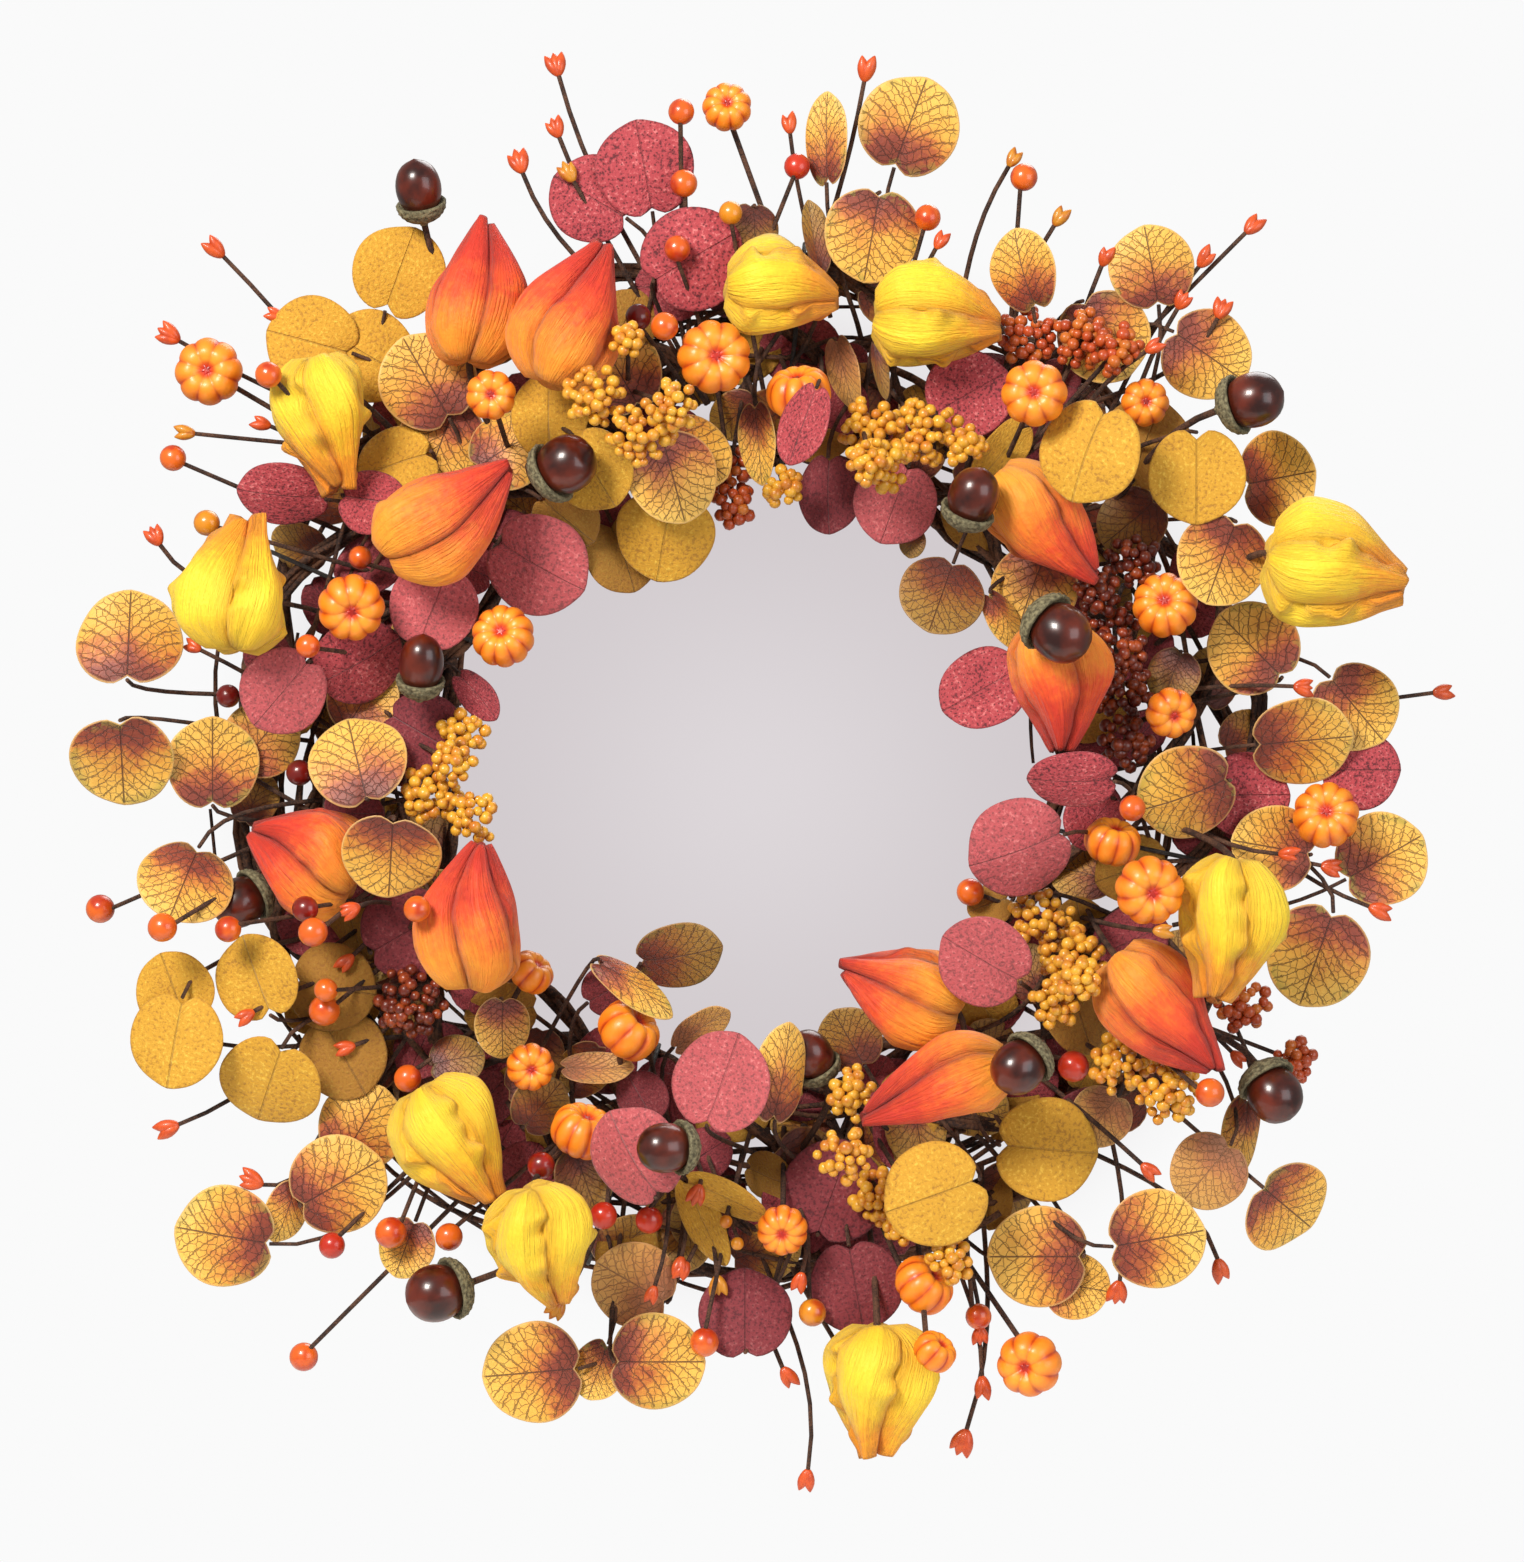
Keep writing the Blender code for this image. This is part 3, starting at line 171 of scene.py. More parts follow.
# Heads of grain: clock, reach, diameter, layer, colour (0 ochre, 1 rust, 2 dark brown).
GRAINS: tuple[Row, ...] = (
    (337, 149, 22, 6, 0), (342, 130, 24, 6, 0), (348, 136, 18, 6, 0), (20, 135, 24, 6, 0),
    (28, 142, 26, 6, 0), (24, 124, 20, 6, 0), (356, 112, 20, 3, 1), (276, 109.5, 18, 5, 0),
    (265, 121, 22, 5, 0), (259.5, 107, 18, 5, 0), (118, 126, 24, 5, 0), (121, 143, 24, 5, 0),
    (128, 146, 18, 6, 0), (129, 180, 22, 4, 0), (128, 200, 24, 5, 0), (163, 130, 17, 5, 0),
    (166.5, 151.5, 20, 6, 0), (163, 172, 22, 5, 0), (158, 202.5, 16, 6, 0), (33, 195, 22, 3, 1),
    (38, 206, 22, 3, 1), (68, 147, 22, 3, 2), (79, 145, 22, 3, 2), (116, 210, 20, 3, 1),
    (235, 158, 26, 3, 2), (344, 165, 12, 6, 0), (21.5, 122, 16, 6, 0), (34, 145.5, 14, 6, 0),
    (7, 106, 14, 4, 0), (270.5, 112, 16, 5, 0), (123, 147, 16, 6, 0), (118.5, 237, 16, 3, 1),
    (41.5, 209, 18, 3, 1), (62, 165.5, 20, 3, 2), (63.5, 147, 16, 3, 2), (73.5, 145, 20, 3, 2),
    (86.5, 143, 20, 3, 2), (356.5, 99, 16, 3, 1), (161.5, 185, 14, 6, 0),
)
# Buds at twig ends: clock, reach, length, heading, layer, colour (0 red, 1 ochre).
BUDS: tuple[Row, ...] = (
    (314, 283.5, 9, 315, 4, 0), (306.5, 275.5, 9, 300, 4, 0), (339, 246, 9, 340, 4, 0),
    (344.5, 277, 9, 345, 4, 0), (9.5, 269, 10, 10, 4, 0), (43, 281.5, 9, 45, 4, 0),
    (42, 260, 9, 40, 4, 0), (84, 266, 9, 85, 4, 0), (103, 246.5, 9, 110, 4, 0),
    (137, 263.5, 10, 165, 4, 0), (145, 245, 9, 190, 4, 0), (159.5, 253.5, 9, 180, 4, 0),
    (162.5, 270.5, 10, 200, 4, 0), (175.5, 274, 10, 190, 4, 0), (176.5, 234, 9, 150, 4, 0),
    (238, 262, 10, 250, 4, 0), (230, 247, 9, 290, 4, 0), (291, 243.5, 9, 330, 4, 0),
)
# Smaller buds, each a single twig end: clock, reach, colour.
SMALL_BUDS: tuple[tuple[float, float, int], ...] = (
    (313.5, 250, 0), (305, 227.5, 0), (300.5, 250, 1), (343, 254, 0), (343, 236, 1), (3.5, 245, 0),
    (20, 211, 0), (23.5, 252.5, 1), (29.5, 240, 1), (35, 236.5, 0), (43, 242, 0), (46, 250, 0),
    (44, 220, 0), (82, 211.5, 0), (100, 225, 0), (99.5, 207, 0), (121, 217.5, 0), (135.5, 216, 0),
    (158, 235, 0), (168, 259.5, 0), (174.5, 197, 0), (183.5, 198.5, 1), (187, 164, 0),
    (187.5, 194.5, 0), (190.5, 205, 0), (199.5, 220, 1), (188, 193, 0), (243.5, 213.5, 0),
    (235, 188, 0), (250, 160, 0), (244, 171, 0), (282, 217.5, 0), (112, 165, 1),
)


def small_bud(clock: float, reach: float, colour: int) -> Row:
    """The row of a small bud: it points outward, up to 25 degrees aside, and lies over the inner picks.

    Args:
        clock: Clock of the bud, in degrees.
        reach: Its reach, in millimetres.
        colour: Its colour, as in BUDS.

    Returns:
        The row, as in BUDS.
    """
    aside = 17 * int(reach) % 50 - 25
    return clock, reach, 8, (clock + aside) % 360, 6 if reach < 215 else 4, colour


# ---------------------------------------------------------------------------------------------- places


def nodes_like(*words: str) -> list[str]:
    """The CAD nodes whose names start with one of the words."""
    return sorted(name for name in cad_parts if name.startswith(words))


def union_box(names: Sequence[str]) -> tuple[Vector, Vector]:
    """The lowest and highest corners of several CAD nodes together."""
    lows, highs = zip(*(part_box(name) for name in names))
    low = Vector([min(corner[axis] for corner in lows) for axis in range(3)])
    high = Vector([max(corner[axis] for corner in highs) for axis in range(3)])
    return low, high


VINE_LOW, VINE_HIGH = union_box(nodes_like("vine"))
CENTRE = (VINE_LOW + VINE_HIGH) / 2
VINE_FRONT = -VINE_LOW.y
RING_REACH = 158.0  # middle line of the vine ring, in millimetres
WIRE_DEPTH = 0.0095  # room that the wires of the picks take up in front of the vines
STACK_FLOOR = VINE_FRONT + WIRE_DEPTH


def ring_point(clock: float, reach: float, height: float) -> Vector:
    """World point for a clock in degrees, a reach in millimetres and a height in metres."""
    turn = math.radians(clock)
    across, up = reach * MM * math.sin(turn), reach * MM * math.cos(turn)
    return Vector((CENTRE.x + across, -height, CENTRE.z + up))


def facing(heading: float, roll: float = 0.0, pitch: float = 0.0) -> Matrix:
    """Turns +Y to a heading and +Z to the front, then rolls and pitches.

    Args:
        heading: Clock direction of the piece's +Y, in degrees.
        roll: Turn about the piece's own length, in radians.
        pitch: Turn about the piece's own width, in radians.

    Returns:
        The 3 by 3 rotation.
    """
    turn = math.radians(heading)
    across = Vector((math.cos(turn), 0, -math.sin(turn)))
    along = Vector((math.sin(turn), 0, math.cos(turn)))
    frame_axes = Matrix((across, along, Vector((0, -1, 0)))).transposed()
    return frame_axes @ Matrix.Rotation(roll, 3, "Y") @ Matrix.Rotation(pitch, 3, "X")


# ----------------------------------------------------------------------------------------------- meshes


@dataclass
class Shell:
    """One closed shape made of rings of points between two poles.

    Attributes:
        rings: Points, as (ring, step, 3), in metres.
        poles: The first and last pole points, as (2, 3).
        uv: Pattern coordinates of the ring points, as (ring, step, 2).
        pole_uv: Pattern coordinates of the poles, as (2, 2).
        tone: Colour choices of the shell: a random value, its shade and one more.
        side: How much of the underside's colour each ring shows, if any.
    """

    rings: np.ndarray
    poles: np.ndarray
    uv: np.ndarray
    pole_uv: np.ndarray
    tone: tuple[float, float, float] = (0.5, 0.0, 0.0)
    side: np.ndarray | None = None

    def points(self) -> np.ndarray:
        """All points in one list, the poles last."""
        return np.concatenate([self.rings.reshape(-1, 3), self.poles])

    def moved(self, turn: Matrix, spot: Vector) -> "Shell":
        """The shell turned and then moved to a spot."""
        matrix = np.array(turn)
        rings = self.rings @ matrix.T + np.array(spot)
        poles = self.poles @ matrix.T + np.array(spot)
        return Shell(rings, poles, self.uv, self.pole_uv, self.tone, self.side)

    def faces(self) -> list[tuple[int, ...]]:
        """Faces of the shell, all turned outwards."""
        count, steps = self.rings.shape[:2]
        here = np.arange(count * steps).reshape(count, steps)
        after = np.roll(here, -1, axis=1)
        quads = np.stack([here[:-1], after[:-1], after[1:], here[1:]], axis=-1).reshape(-1, 4)
        first = np.stack([np.full(steps, count * steps), after[0], here[0]], axis=-1)
        last = np.stack([np.full(steps, count * steps + 1), here[-1], after[-1]], axis=-1)
        points = self.points()
        corners = points[quads[:, :3]]
        other = points[quads[:, [0, 2, 3]]]
        middle = points.mean(axis=0)
        volume = sum(float(np.linalg.det(part - middle).sum()) for part in (corners, other))
        whole = [tuple(face) for face in quads.tolist()] + [tuple(f) for f in first.tolist() + last.tolist()]
        return whole if volume > 0 else [face[::-1] for face in whole]


@dataclass
class Batch:
    """Grows one mesh from many shells.

    Attributes:
        points: Points of each shell, in world metres.
        faces: Faces of all shells, as point numbers.
        uv: Pattern coordinates of each shell's points.
        tone: Colour choices of each shell's points.
        total: Number of points so far.
    """

    points: list[np.ndarray] = field(default_factory=list)
    faces: list[tuple[int, ...]] = field(default_factory=list)
    uv: list[np.ndarray] = field(default_factory=list)
    tone: list[np.ndarray] = field(default_factory=list)
    total: int = 0

    def add(self, shell: Shell) -> None:
        """Adds a shell."""
        points = shell.points()
        self.faces += [tuple(index + self.total for index in face) for face in shell.faces()]
        self.points.append(points)
        self.uv.append(np.concatenate([shell.uv.reshape(-1, 2), shell.pole_uv]))
        tone = np.zeros((len(points), 4))
        tone[:, :3] = shell.tone
        if shell.side is not None:
            tone[:-2, 3] = np.repeat(shell.side, shell.rings.shape[1])
            tone[-2:, 3] = shell.side[[0, -1]]
        self.tone.append(tone)
        self.total += len(points)

    def build(self, name: str) -> bpy.types.Object:
        """Makes the object, with a UV map and a tone attribute.

        Args:
            name: Name of the piece.

        Returns:
            The new mesh object, smooth shaded.
        """
        mesh = bpy.data.meshes.new(name)
        mesh.from_pydata(np.concatenate(self.points).tolist(), [], self.faces)
        corners = np.empty(len(mesh.loops), np.int32)
        mesh.loops.foreach_get("vertex_index", corners)
        layer = mesh.uv_layers.new(name="pattern")
        layer.uv.foreach_set("vector", np.concatenate(self.uv)[corners].astype(np.float32).ravel())
        tone = mesh.attributes.new("tone", "FLOAT_COLOR", "POINT")
        tone.data.foreach_set("color", np.concatenate(self.tone).astype(np.float32).ravel())
        mesh.shade_smooth()
        thing = bpy.data.objects.new(name, mesh)
        bpy.context.scene.collection.objects.link(thing)
        return thing


def ring_steps(steps: int) -> np.ndarray:
    """Angles of evenly spaced steps round a ring."""
    return np.linspace(0, 2 * np.pi, steps, endpoint=False)


def columns(*parts: np.ndarray) -> np.ndarray:
    """Coordinates side by side, each spread over the same rings and steps."""
    return np.stack(np.broadcast_arrays(*parts), axis=-1)


POLE_UV = np.array([(0.5, 0), (0.5, 1)])


def ball(width: float, length: float, depth: float, rings: int, steps: int, point: float = 0.0) -> Shell:
    """A ball with its poles on +Y and -Y, and a tip on +Y if asked.

    Args:
        width: Size across, in metres.
        length: Size along +Y, in metres.
        depth: Size front to back, in metres.
        rings: Rings between the poles.
        steps: Points in a ring.
        point: How pointed the +Y end is, from 0 to 1.

    Returns:
        The shell, whose pattern coordinate runs from the +Y pole to the -Y pole.
    """
    polar = np.linspace(0, np.pi, rings + 2)[1:-1, None]
    turn = ring_steps(steps)[None]
    slim = 1 - point * np.clip(np.cos(polar), 0, 1) ** 2 * 0.75
    x = width / 2 * np.sin(polar) * slim * np.cos(turn)
    z = depth / 2 * np.sin(polar) * slim * np.sin(turn)
    y = length / 2 * np.cos(polar)
    uv = columns(turn / (2 * np.pi), polar / np.pi)
    poles = np.array([(0, length / 2, 0), (0, -length / 2, 0)])
    return Shell(columns(x, y, z), poles, uv, POLE_UV)


# ---------------------------------------------------------------------------------------------- stacking


class Stack:
    """How far forward the wreath reaches so far, on a grid, so that pieces rest on one another.

    Attributes:
        CELL: Size of a cell of the grid, in metres.
        GAP: Air left between pieces, in metres.
        HALF: Half the size of the grid, in metres.
    """

    CELL = 0.0015
    GAP = 0.0001
    HALF = 0.36

    def __init__(self) -> None:
        """Starts with a level floor in front of the vines."""
        cells = int(2 * self.HALF / self.CELL)
        self.heights = np.full((cells, cells), STACK_FLOOR)

    def settle(self, points: np.ndarray, raises: bool = True) -> float:
        """Finds how far forward a piece goes to clear what is behind it, and records its front.

        Args:
            points: The piece's points, in metres, with its middle at height zero.
            raises: Whether later pieces rest on this one.

        Returns:
            The height that the piece moves forward by, in metres.
        """
        column = np.floor((points[:, 0] - CENTRE.x + self.HALF) / self.CELL).astype(int)
        row = np.floor((points[:, 2] - CENTRE.z + self.HALF) / self.CELL).astype(int)
        low = np.array([column.min() - 1, row.min() - 1])
        size = (column.max() - low[0] + 2, row.max() - low[1] + 2)
        back, front = np.full(size, np.inf), np.full(size, -np.inf)
        for i in (-1, 0, 1):
            for j in (-1, 0, 1):
                place = (column - low[0] + i, row - low[1] + j)
                np.minimum.at(back, place, -points[:, 1])
                np.maximum.at(front, place, -points[:, 1])
        window = self.heights[low[0] : low[0] + size[0], low[1] : low[1] + size[1]]
        covered = np.isfinite(back)
        lift = float((window[covered] - back[covered]).max()) + self.GAP
        if raises:
            np.maximum(window, front + lift, out=window)
        return lift


# --------------------------------------------------------------------------------------------- materials


def linear(code: str) -> tuple[float, float, float, float]:
    """The linear colour of an sRGB hex code such as 'D19A1E'."""
    parts = [int(code[index : index + 2], 16) / 255 for index in (0, 2, 4)]
    straight = [part / 12.92 if part <= 0.04045 else ((part + 0.055) / 1.055) ** 2.4 for part in parts]
    return straight[0], straight[1], straight[2], 1.0


def per_metre(size_mm: float) -> float:
    """Scale of a pattern on object coordinates, from the size of its marks in millimetres."""
    return 1000 / size_mm


def add_node(
    tree: bpy.types.NodeTree,
    kind: str,
    *inputs: Any,
    out: int = 0,
    stops: Sequence[tuple[float, str]] = (),
    named: dict[str, Any] | None = None,
    **settings: Any,
) -> bpy.types.NodeSocket:
    """Adds a node with its settings and links.

    Args:
        tree: The tree that it goes in.
        kind: Node type.
        *inputs: The inputs in order: a socket is linked, None is left, a hex code or a value is set.
        out: Index of the output that is returned.
        stops: Colour stops, for a ramp.
        named: More inputs, by name.
        **settings: The node's own settings, by name.

    Returns:
        The chosen output socket.
    """
    node = tree.nodes.new(kind)
    for name, value in settings.items():
        setattr(node, name, value)
    by_name = [(node.inputs[name], value) for name, value in (named or {}).items()]
    for place, value in [*zip(node.inputs, inputs), *by_name]:
        if isinstance(value, bpy.types.NodeSocket):
            tree.links.new(value, place)
        elif value is not None:
            coded = isinstance(value, str) and place.type == "RGBA"
            place.default_value = linear(value) if coded else value
    if stops:
        ramp = node.color_ramp.elements
        ramp[0].position, ramp[0].color = stops[0][0], linear(stops[0][1])
        ramp[1].position, ramp[1].color = stops[-1][0], linear(stops[-1][1])
        for place, code in stops[1:-1]:
            ramp.new(place).color = linear(code)
    return node.outputs[out]


@dataclass
class Finish:
    """A material under construction, and the shader that it ends in.

    Attributes:
        name: Name of the material.
    """

    name: str

    def __post_init__(self) -> None:
        """Makes the material with its shader."""
        self.material = bpy.data.materials.new(self.name)
        self.material.use_nodes = True
        self.tree = self.material.node_tree
        self.shader = self.tree.nodes["Principled BSDF"]

    def add(self, kind: str, *inputs: Any, **options: Any) -> bpy.types.NodeSocket:
        """Adds a shader node, whose type is given without its prefix."""
        return add_node(self.tree, "ShaderNode" + kind, *inputs, **options)

    def tones(self) -> tuple[bpy.types.NodeSocket, ...]:
        """The piece's random value, its shade, its extra value and its share of underside."""
        parts = self.add("SeparateColor", self.add("Attribute", attribute_name="tone")).node.outputs
        return parts[0], parts[1], parts[2], self.add("Attribute", out=3, attribute_name="tone")

    def scattered(self, tone: Any, ratio: float, spread: float) -> bpy.types.NodeSocket:
        """The pattern's coordinates, moved for each piece so that no two look the same.

        Args:
            tone: The piece's own number.
            ratio: How much further the pattern moves along the piece than across it.
            spread: How far apart the pieces' patterns are, in metres.

        Returns:
            The moved coordinates.
        """
        steep = self.add("Math", tone, ratio, operation="MULTIPLY")
        aside = self.add("CombineXYZ", tone, steep, 0.0)
        drift = self.add("VectorMath", aside, None, None, spread, operation="SCALE")
        return self.add("VectorMath", self.add("UVMap", uv_map="pattern"), drift, operation="ADD")

    def nudged(self, value: Any, amount: float, onto: Any) -> bpy.types.NodeSocket:
        """Moves one value by another's distance from a half, times an amount."""
        off = self.add("Math", value, 0.5, operation="SUBTRACT")
        return self.add("Math", off, amount, onto, operation="MULTIPLY_ADD")

    def tinted(self, part: Any, strength: float, colour: Any, code: str) -> bpy.types.NodeSocket:
        """Mixes in a hex colour where a part shows, up to a strength."""
        factor = self.add("Math", part, strength, operation="MULTIPLY")
        return self.add("MixRGB", factor, colour, code)

    def end(self, colour: Any, height: Any = None, depth: float = 0.0, **values: Any) -> bpy.types.Material:
        """Connects the colour and the relief, and sets the shader's own values.

        Args:
            colour: Socket of the base colour.
            height: Socket of the relief, if any.
            depth: Depth of the relief, in metres.
            **values: Shader inputs, with underscores for spaces.

        Returns:
            The finished material.
        """
        self.tree.links.new(colour, self.shader.inputs["Base Color"])
        if height is not None:
            bump = self.add("Bump", 1.0, depth, None, height)
            self.tree.links.new(bump, self.shader.inputs["Normal"])
        for key, value in values.items():
            self.shader.inputs[key.replace("_", " ")].default_value = value
        return self.material


# ------------------------------------------------------------------------------------------------ leaves


class LeafKind(Enum):
    """The three printed cloths that the leaves are cut from."""

    VEINED = "veined"
    MUSTARD = "mustard"
    BURGUNDY = "burgundy"


@dataclass
class Leaf:
    """A round eucalyptus leaf, cut from cloth, with a notch where its stem joins.

    Attributes:
        length: Size along the midrib, in metres.
        width: Size across, in metres.
        cup: Rise of the rim over the middle, as a share of the length.
        fold: How far the halves fold about the midrib, as a share of the length.
        wave: Height of the waves in the rim, as a share of the length.
        phase: Where the waves start, in radians.
        notch: Depth of the notch, as a share of the half length.
        thickness: Thickness of the cloth, in metres.
        steps: Points round the rim.
    """

    length: float
    width: float
    cup: float
    fold: float
    wave: float
    phase: float
    notch: float
    thickness: float = 0.0005
    steps: int = 48

    def surface(self, share: np.ndarray, turn: np.ndarray) -> np.ndarray:
        """Points of the mid-surface at shares of the radius and angles from the tip."""
        off = np.abs(np.pi - turn)
        outline = 1 - self.notch * np.exp(-((off / 0.17) ** 2)) - 0.3 * self.notch * np.exp(-((off / 0.5) ** 2))
        outline = outline + 0.012 * np.sin(3 * turn + self.phase) + 0.008 * np.sin(5 * turn - self.phase)
        outline = outline + 0.035 * np.exp(-((np.minimum(turn, 2 * np.pi - turn) / 0.2) ** 2))
        across = share * outline * np.sin(turn)
        along = share * outline * np.cos(turn)
        height = self.cup * share**2 + self.fold * np.abs(across) ** 1.3
        height = height + self.wave * np.sin(2 * turn + self.phase) * share**3
        height = height + 0.4 * self.wave * np.sin(5 * turn + 2 * self.phase) * share**4
        place = [across * self.width / 2, along * self.length / 2, height * self.length]
        return np.stack(place, axis=-1)

    def shell(self, tone: tuple[float, float, float]) -> Shell:
        """The closed leaf, front and back.

        Args:
            tone: Random value, shade and age of the leaf.

        Returns:
            The shell, with the front first.
        """
        shares = np.array([0.13, 0.28, 0.43, 0.57, 0.7, 0.81, 0.9, 0.965, 1.0])
        turn = ring_steps(self.steps)[None]
        front = self.surface(shares[:, None], turn)
        half = self.thickness / 2
        lift = np.where(shares > 0.99, 0.35, 1.0)[:, None] * half
        rear = front[::-1].copy()
        top = front.copy()
        top[..., 2] += lift
        rear[..., 2] -= lift[::-1]
        rings = np.concatenate([top, rear])
        radius = np.concatenate([shares, shares[::-1]])[:, None]
        uv = 0.5 + 0.5 * np.stack([radius * np.sin(turn), radius * np.cos(turn)], axis=-1)
        side = np.concatenate([np.zeros(len(shares)), np.ones(len(shares))])
        poles = np.array([(0, 0, half), (0, 0, -half)])
        return Shell(rings, poles, uv, np.full((2, 2), 0.5), tone, side)


MOST_TILT = math.radians(30)


def foreshortened(length: float, width: float) -> tuple[float, float, float, float]:
    """Tilts a leaf that looks longer than wide, or wider than long.

    Args:
        length: The length that shows, in metres.
        width: The width that shows, in metres.

    Returns:
        The real length and width in metres, then the roll and the pitch in radians.
    """
    if width < length:
        roll = min(math.acos(width / length), MOST_TILT)
        return length, width / math.cos(roll), roll, 0.0
    pitch = min(math.acos(length / width), MOST_TILT)
    return length / math.cos(pitch), width, 0.0, pitch


# -------------------------------------------------------------------------------------------------- pods


@dataclass
class Pod:
    """A lantern pod of thin foam petals that fold together at the tip.

    Attributes:
        length: Size from the round end to the tip, in metres.
        width: Largest size across, in metres.
        petals: Number of petals.
        crease: Depth of the creases at the round end, as a share of the radius.
        pinch: Extra depth of the creases near the tip.
        frill: How far the petals' ends stand out at the tip, as a share of the radius.
        blunt: Radius left at the tip, as a share.
        sharp: How angular the petals are, from 0 for round to 1.
        twist: Turn of the petals from end to end, in radians.
        rings: Rings between the poles.
    """

    length: float
    width: float
    petals: int
    crease: float
    pinch: float
    frill: float
    blunt: float
    sharp: float
    twist: float
    rings: int = 40

    def shell(self, tone: tuple[float, float, float], chance: np.random.Generator) -> Shell:
        """The closed pod.

        Args:
            tone: Random value and colour choices.
            chance: Source of the pod's own irregularities.

        Returns:
            The shell, whose pattern coordinates are the distance from a crease and the way to the tip.
        """
        inside = np.array([0.0, 0.02, 0.06, 0.13, 0.22, 0.33, 0.45, 0.57, 0.69, 0.8, 0.89, 0.95, 0.985])
        count = self.petals
        petal = np.repeat(np.arange(count), len(inside))[None]
        inner = np.tile(inside, count)[None]
        swell = 1 + np.repeat(chance.uniform(-0.1, 0.1, count), len(inside))[None]
        late = np.repeat(chance.uniform(-1, 1, count), len(inside))[None]
        peak = np.clip(4 * inner * (1 - inner), 0, 1)
        bulge = peak**0.5 + self.sharp * (np.where(inner < 0.62, inner / 0.62, (1 - inner) / 0.38) - peak**0.5)
        over = np.exp(-(((1 - inner) / 0.16) ** 2))
        turn = (petal + inner) * 2 * np.pi / count
        way = np.linspace(0, 1, self.rings + 2)[1:-1, None] ** 0.92
        profile = np.sin(np.pi * way**0.62) ** 0.72 * (1 - self.blunt) + self.blunt * np.minimum(1, way * 6)
        late_way = np.clip((way - 0.5) / 0.5, 0, 1)
        depth = self.crease + self.pinch * late_way**1.3 + 0.14 * np.clip((0.2 - way) / 0.2, 0, 1)
        ripple = 0.022 * np.sin(4 * np.pi * way + 3 * turn) + 0.02 * np.sin(9 * way - 2 * turn)
        ridges = 0.02 * np.sin(inner * np.pi * 7 + petal + 3 * way) * np.sin(np.pi * way) ** 0.5
        curl = np.sin(15 * way + 2.1 * petal) + 0.6 * np.sin(29 * way + petal)
        edge = over * (0.07 + self.frill * (0.35 * curl + 0.9 * late_way**2) * np.sin(np.pi * way) ** 0.3)
        radius = profile * (swell * (1 - depth * (1 - bulge)) + 0.08 * (inner - 0.5) * bulge + ripple + ridges)
        radius = radius + edge * (0.25 + 0.75 * profile)
        radius = radius + 0.3 * self.frill * np.clip((way - 0.84) / 0.16, 0, 1) ** 1.5 * (1 + late) * bulge
        turn = turn + self.twist * (way - 0.35) + chance.uniform(0, 2 * np.pi)
        x = self.width / 2 * radius * np.cos(turn)
        z = self.width / 2 * 0.84 * radius * np.sin(turn)
        lean = 0.07 * self.width * math.sin(6 * chance.random())
        x = x + lean * np.sin(np.pi * way)
        y = self.length * (way - 0.5) + self.length * np.clip(way - 0.7, 0, 1) * (0.10 * bulge + 0.14 * late)
        y = y - 0.04 * self.length * bulge * np.clip((0.25 - way) / 0.25, 0, 1)
        rings = columns(x, y, z)
        uv = columns(np.minimum(bulge, 1 - 0.5 * over * (inner < 1)), way)
        poles = np.array([(0, -self.length * 0.485, 0), (0, self.length * 0.47, 0)])
        return Shell(rings, poles, uv, np.array([(0.4, 0.0), (0.0, 1.0)]), tone)


# ------------------------------------------------------------------------------------------------ fruits


@dataclass
class Pumpkin:
    """A small moulded pumpkin with ribs and a dimple at each end.

    Attributes:
        diameter: Size across, in metres.
        ribs: Number of ribs.
        groove: Depth of the grooves, as a share of the radius.
        rings: Rings between the poles.
    """

    diameter: float
    ribs: int
    groove: float = 0.085
    rings: int = 18

    def shell(self, tone: tuple[float, float, float]) -> Shell:
        """The closed pumpkin, with its eye at +Z."""
        polar = np.linspace(0, np.pi, self.rings + 2)[1:-1, None]
        turn = ring_steps(self.ribs * 8)[None]
        bulge = np.abs(np.sin(self.ribs * turn / 2)) ** 0.75
        shaped = np.sin(polar) ** 0.86
        radius = self.diameter / 2 * shaped * (1 - self.groove * (1 - bulge) * np.sin(polar) ** 0.35)
        dimple = 1 - 0.42 * np.exp(-((np.sin(polar) / 0.33) ** 2))
        height = self.diameter * 0.37 * np.sign(np.cos(polar)) * np.abs(np.cos(polar)) ** 0.9 * dimple
        height = height + self.diameter * 0.02 * bulge * np.cos(polar)
        rings = columns(radius * np.cos(turn), radius * np.sin(turn), height)
        uv = columns(bulge, polar / np.pi)
        top = self.diameter * 0.37 * 0.58
        poles = np.array([(0, 0, top), (0, 0, -top)])
        return Shell(rings, poles, uv, POLE_UV, tone)

    def eye(self, tone: tuple[float, float, float]) -> Shell:
        """The star-shaped eye that sits in the front dimple."""
        polar = np.linspace(0, np.pi, 8)[1:-1, None]
        turn = ring_steps(30)[None]
        star = 1 + 0.42 * np.cos(5 * turn)
        radius = self.diameter * 0.085 * np.sin(polar) * star
        height = self.diameter * (0.222 + 0.03 * np.cos(polar)) + 0 * turn
        rings = columns(radius * np.cos(turn), radius * np.sin(turn), height)
        uv = columns(star / 2, polar / np.pi)
        poles = np.array([(0, 0, self.diameter * 0.24), (0, 0, self.diameter * 0.192)])
        return Shell(rings, poles, uv, POLE_UV, tone)


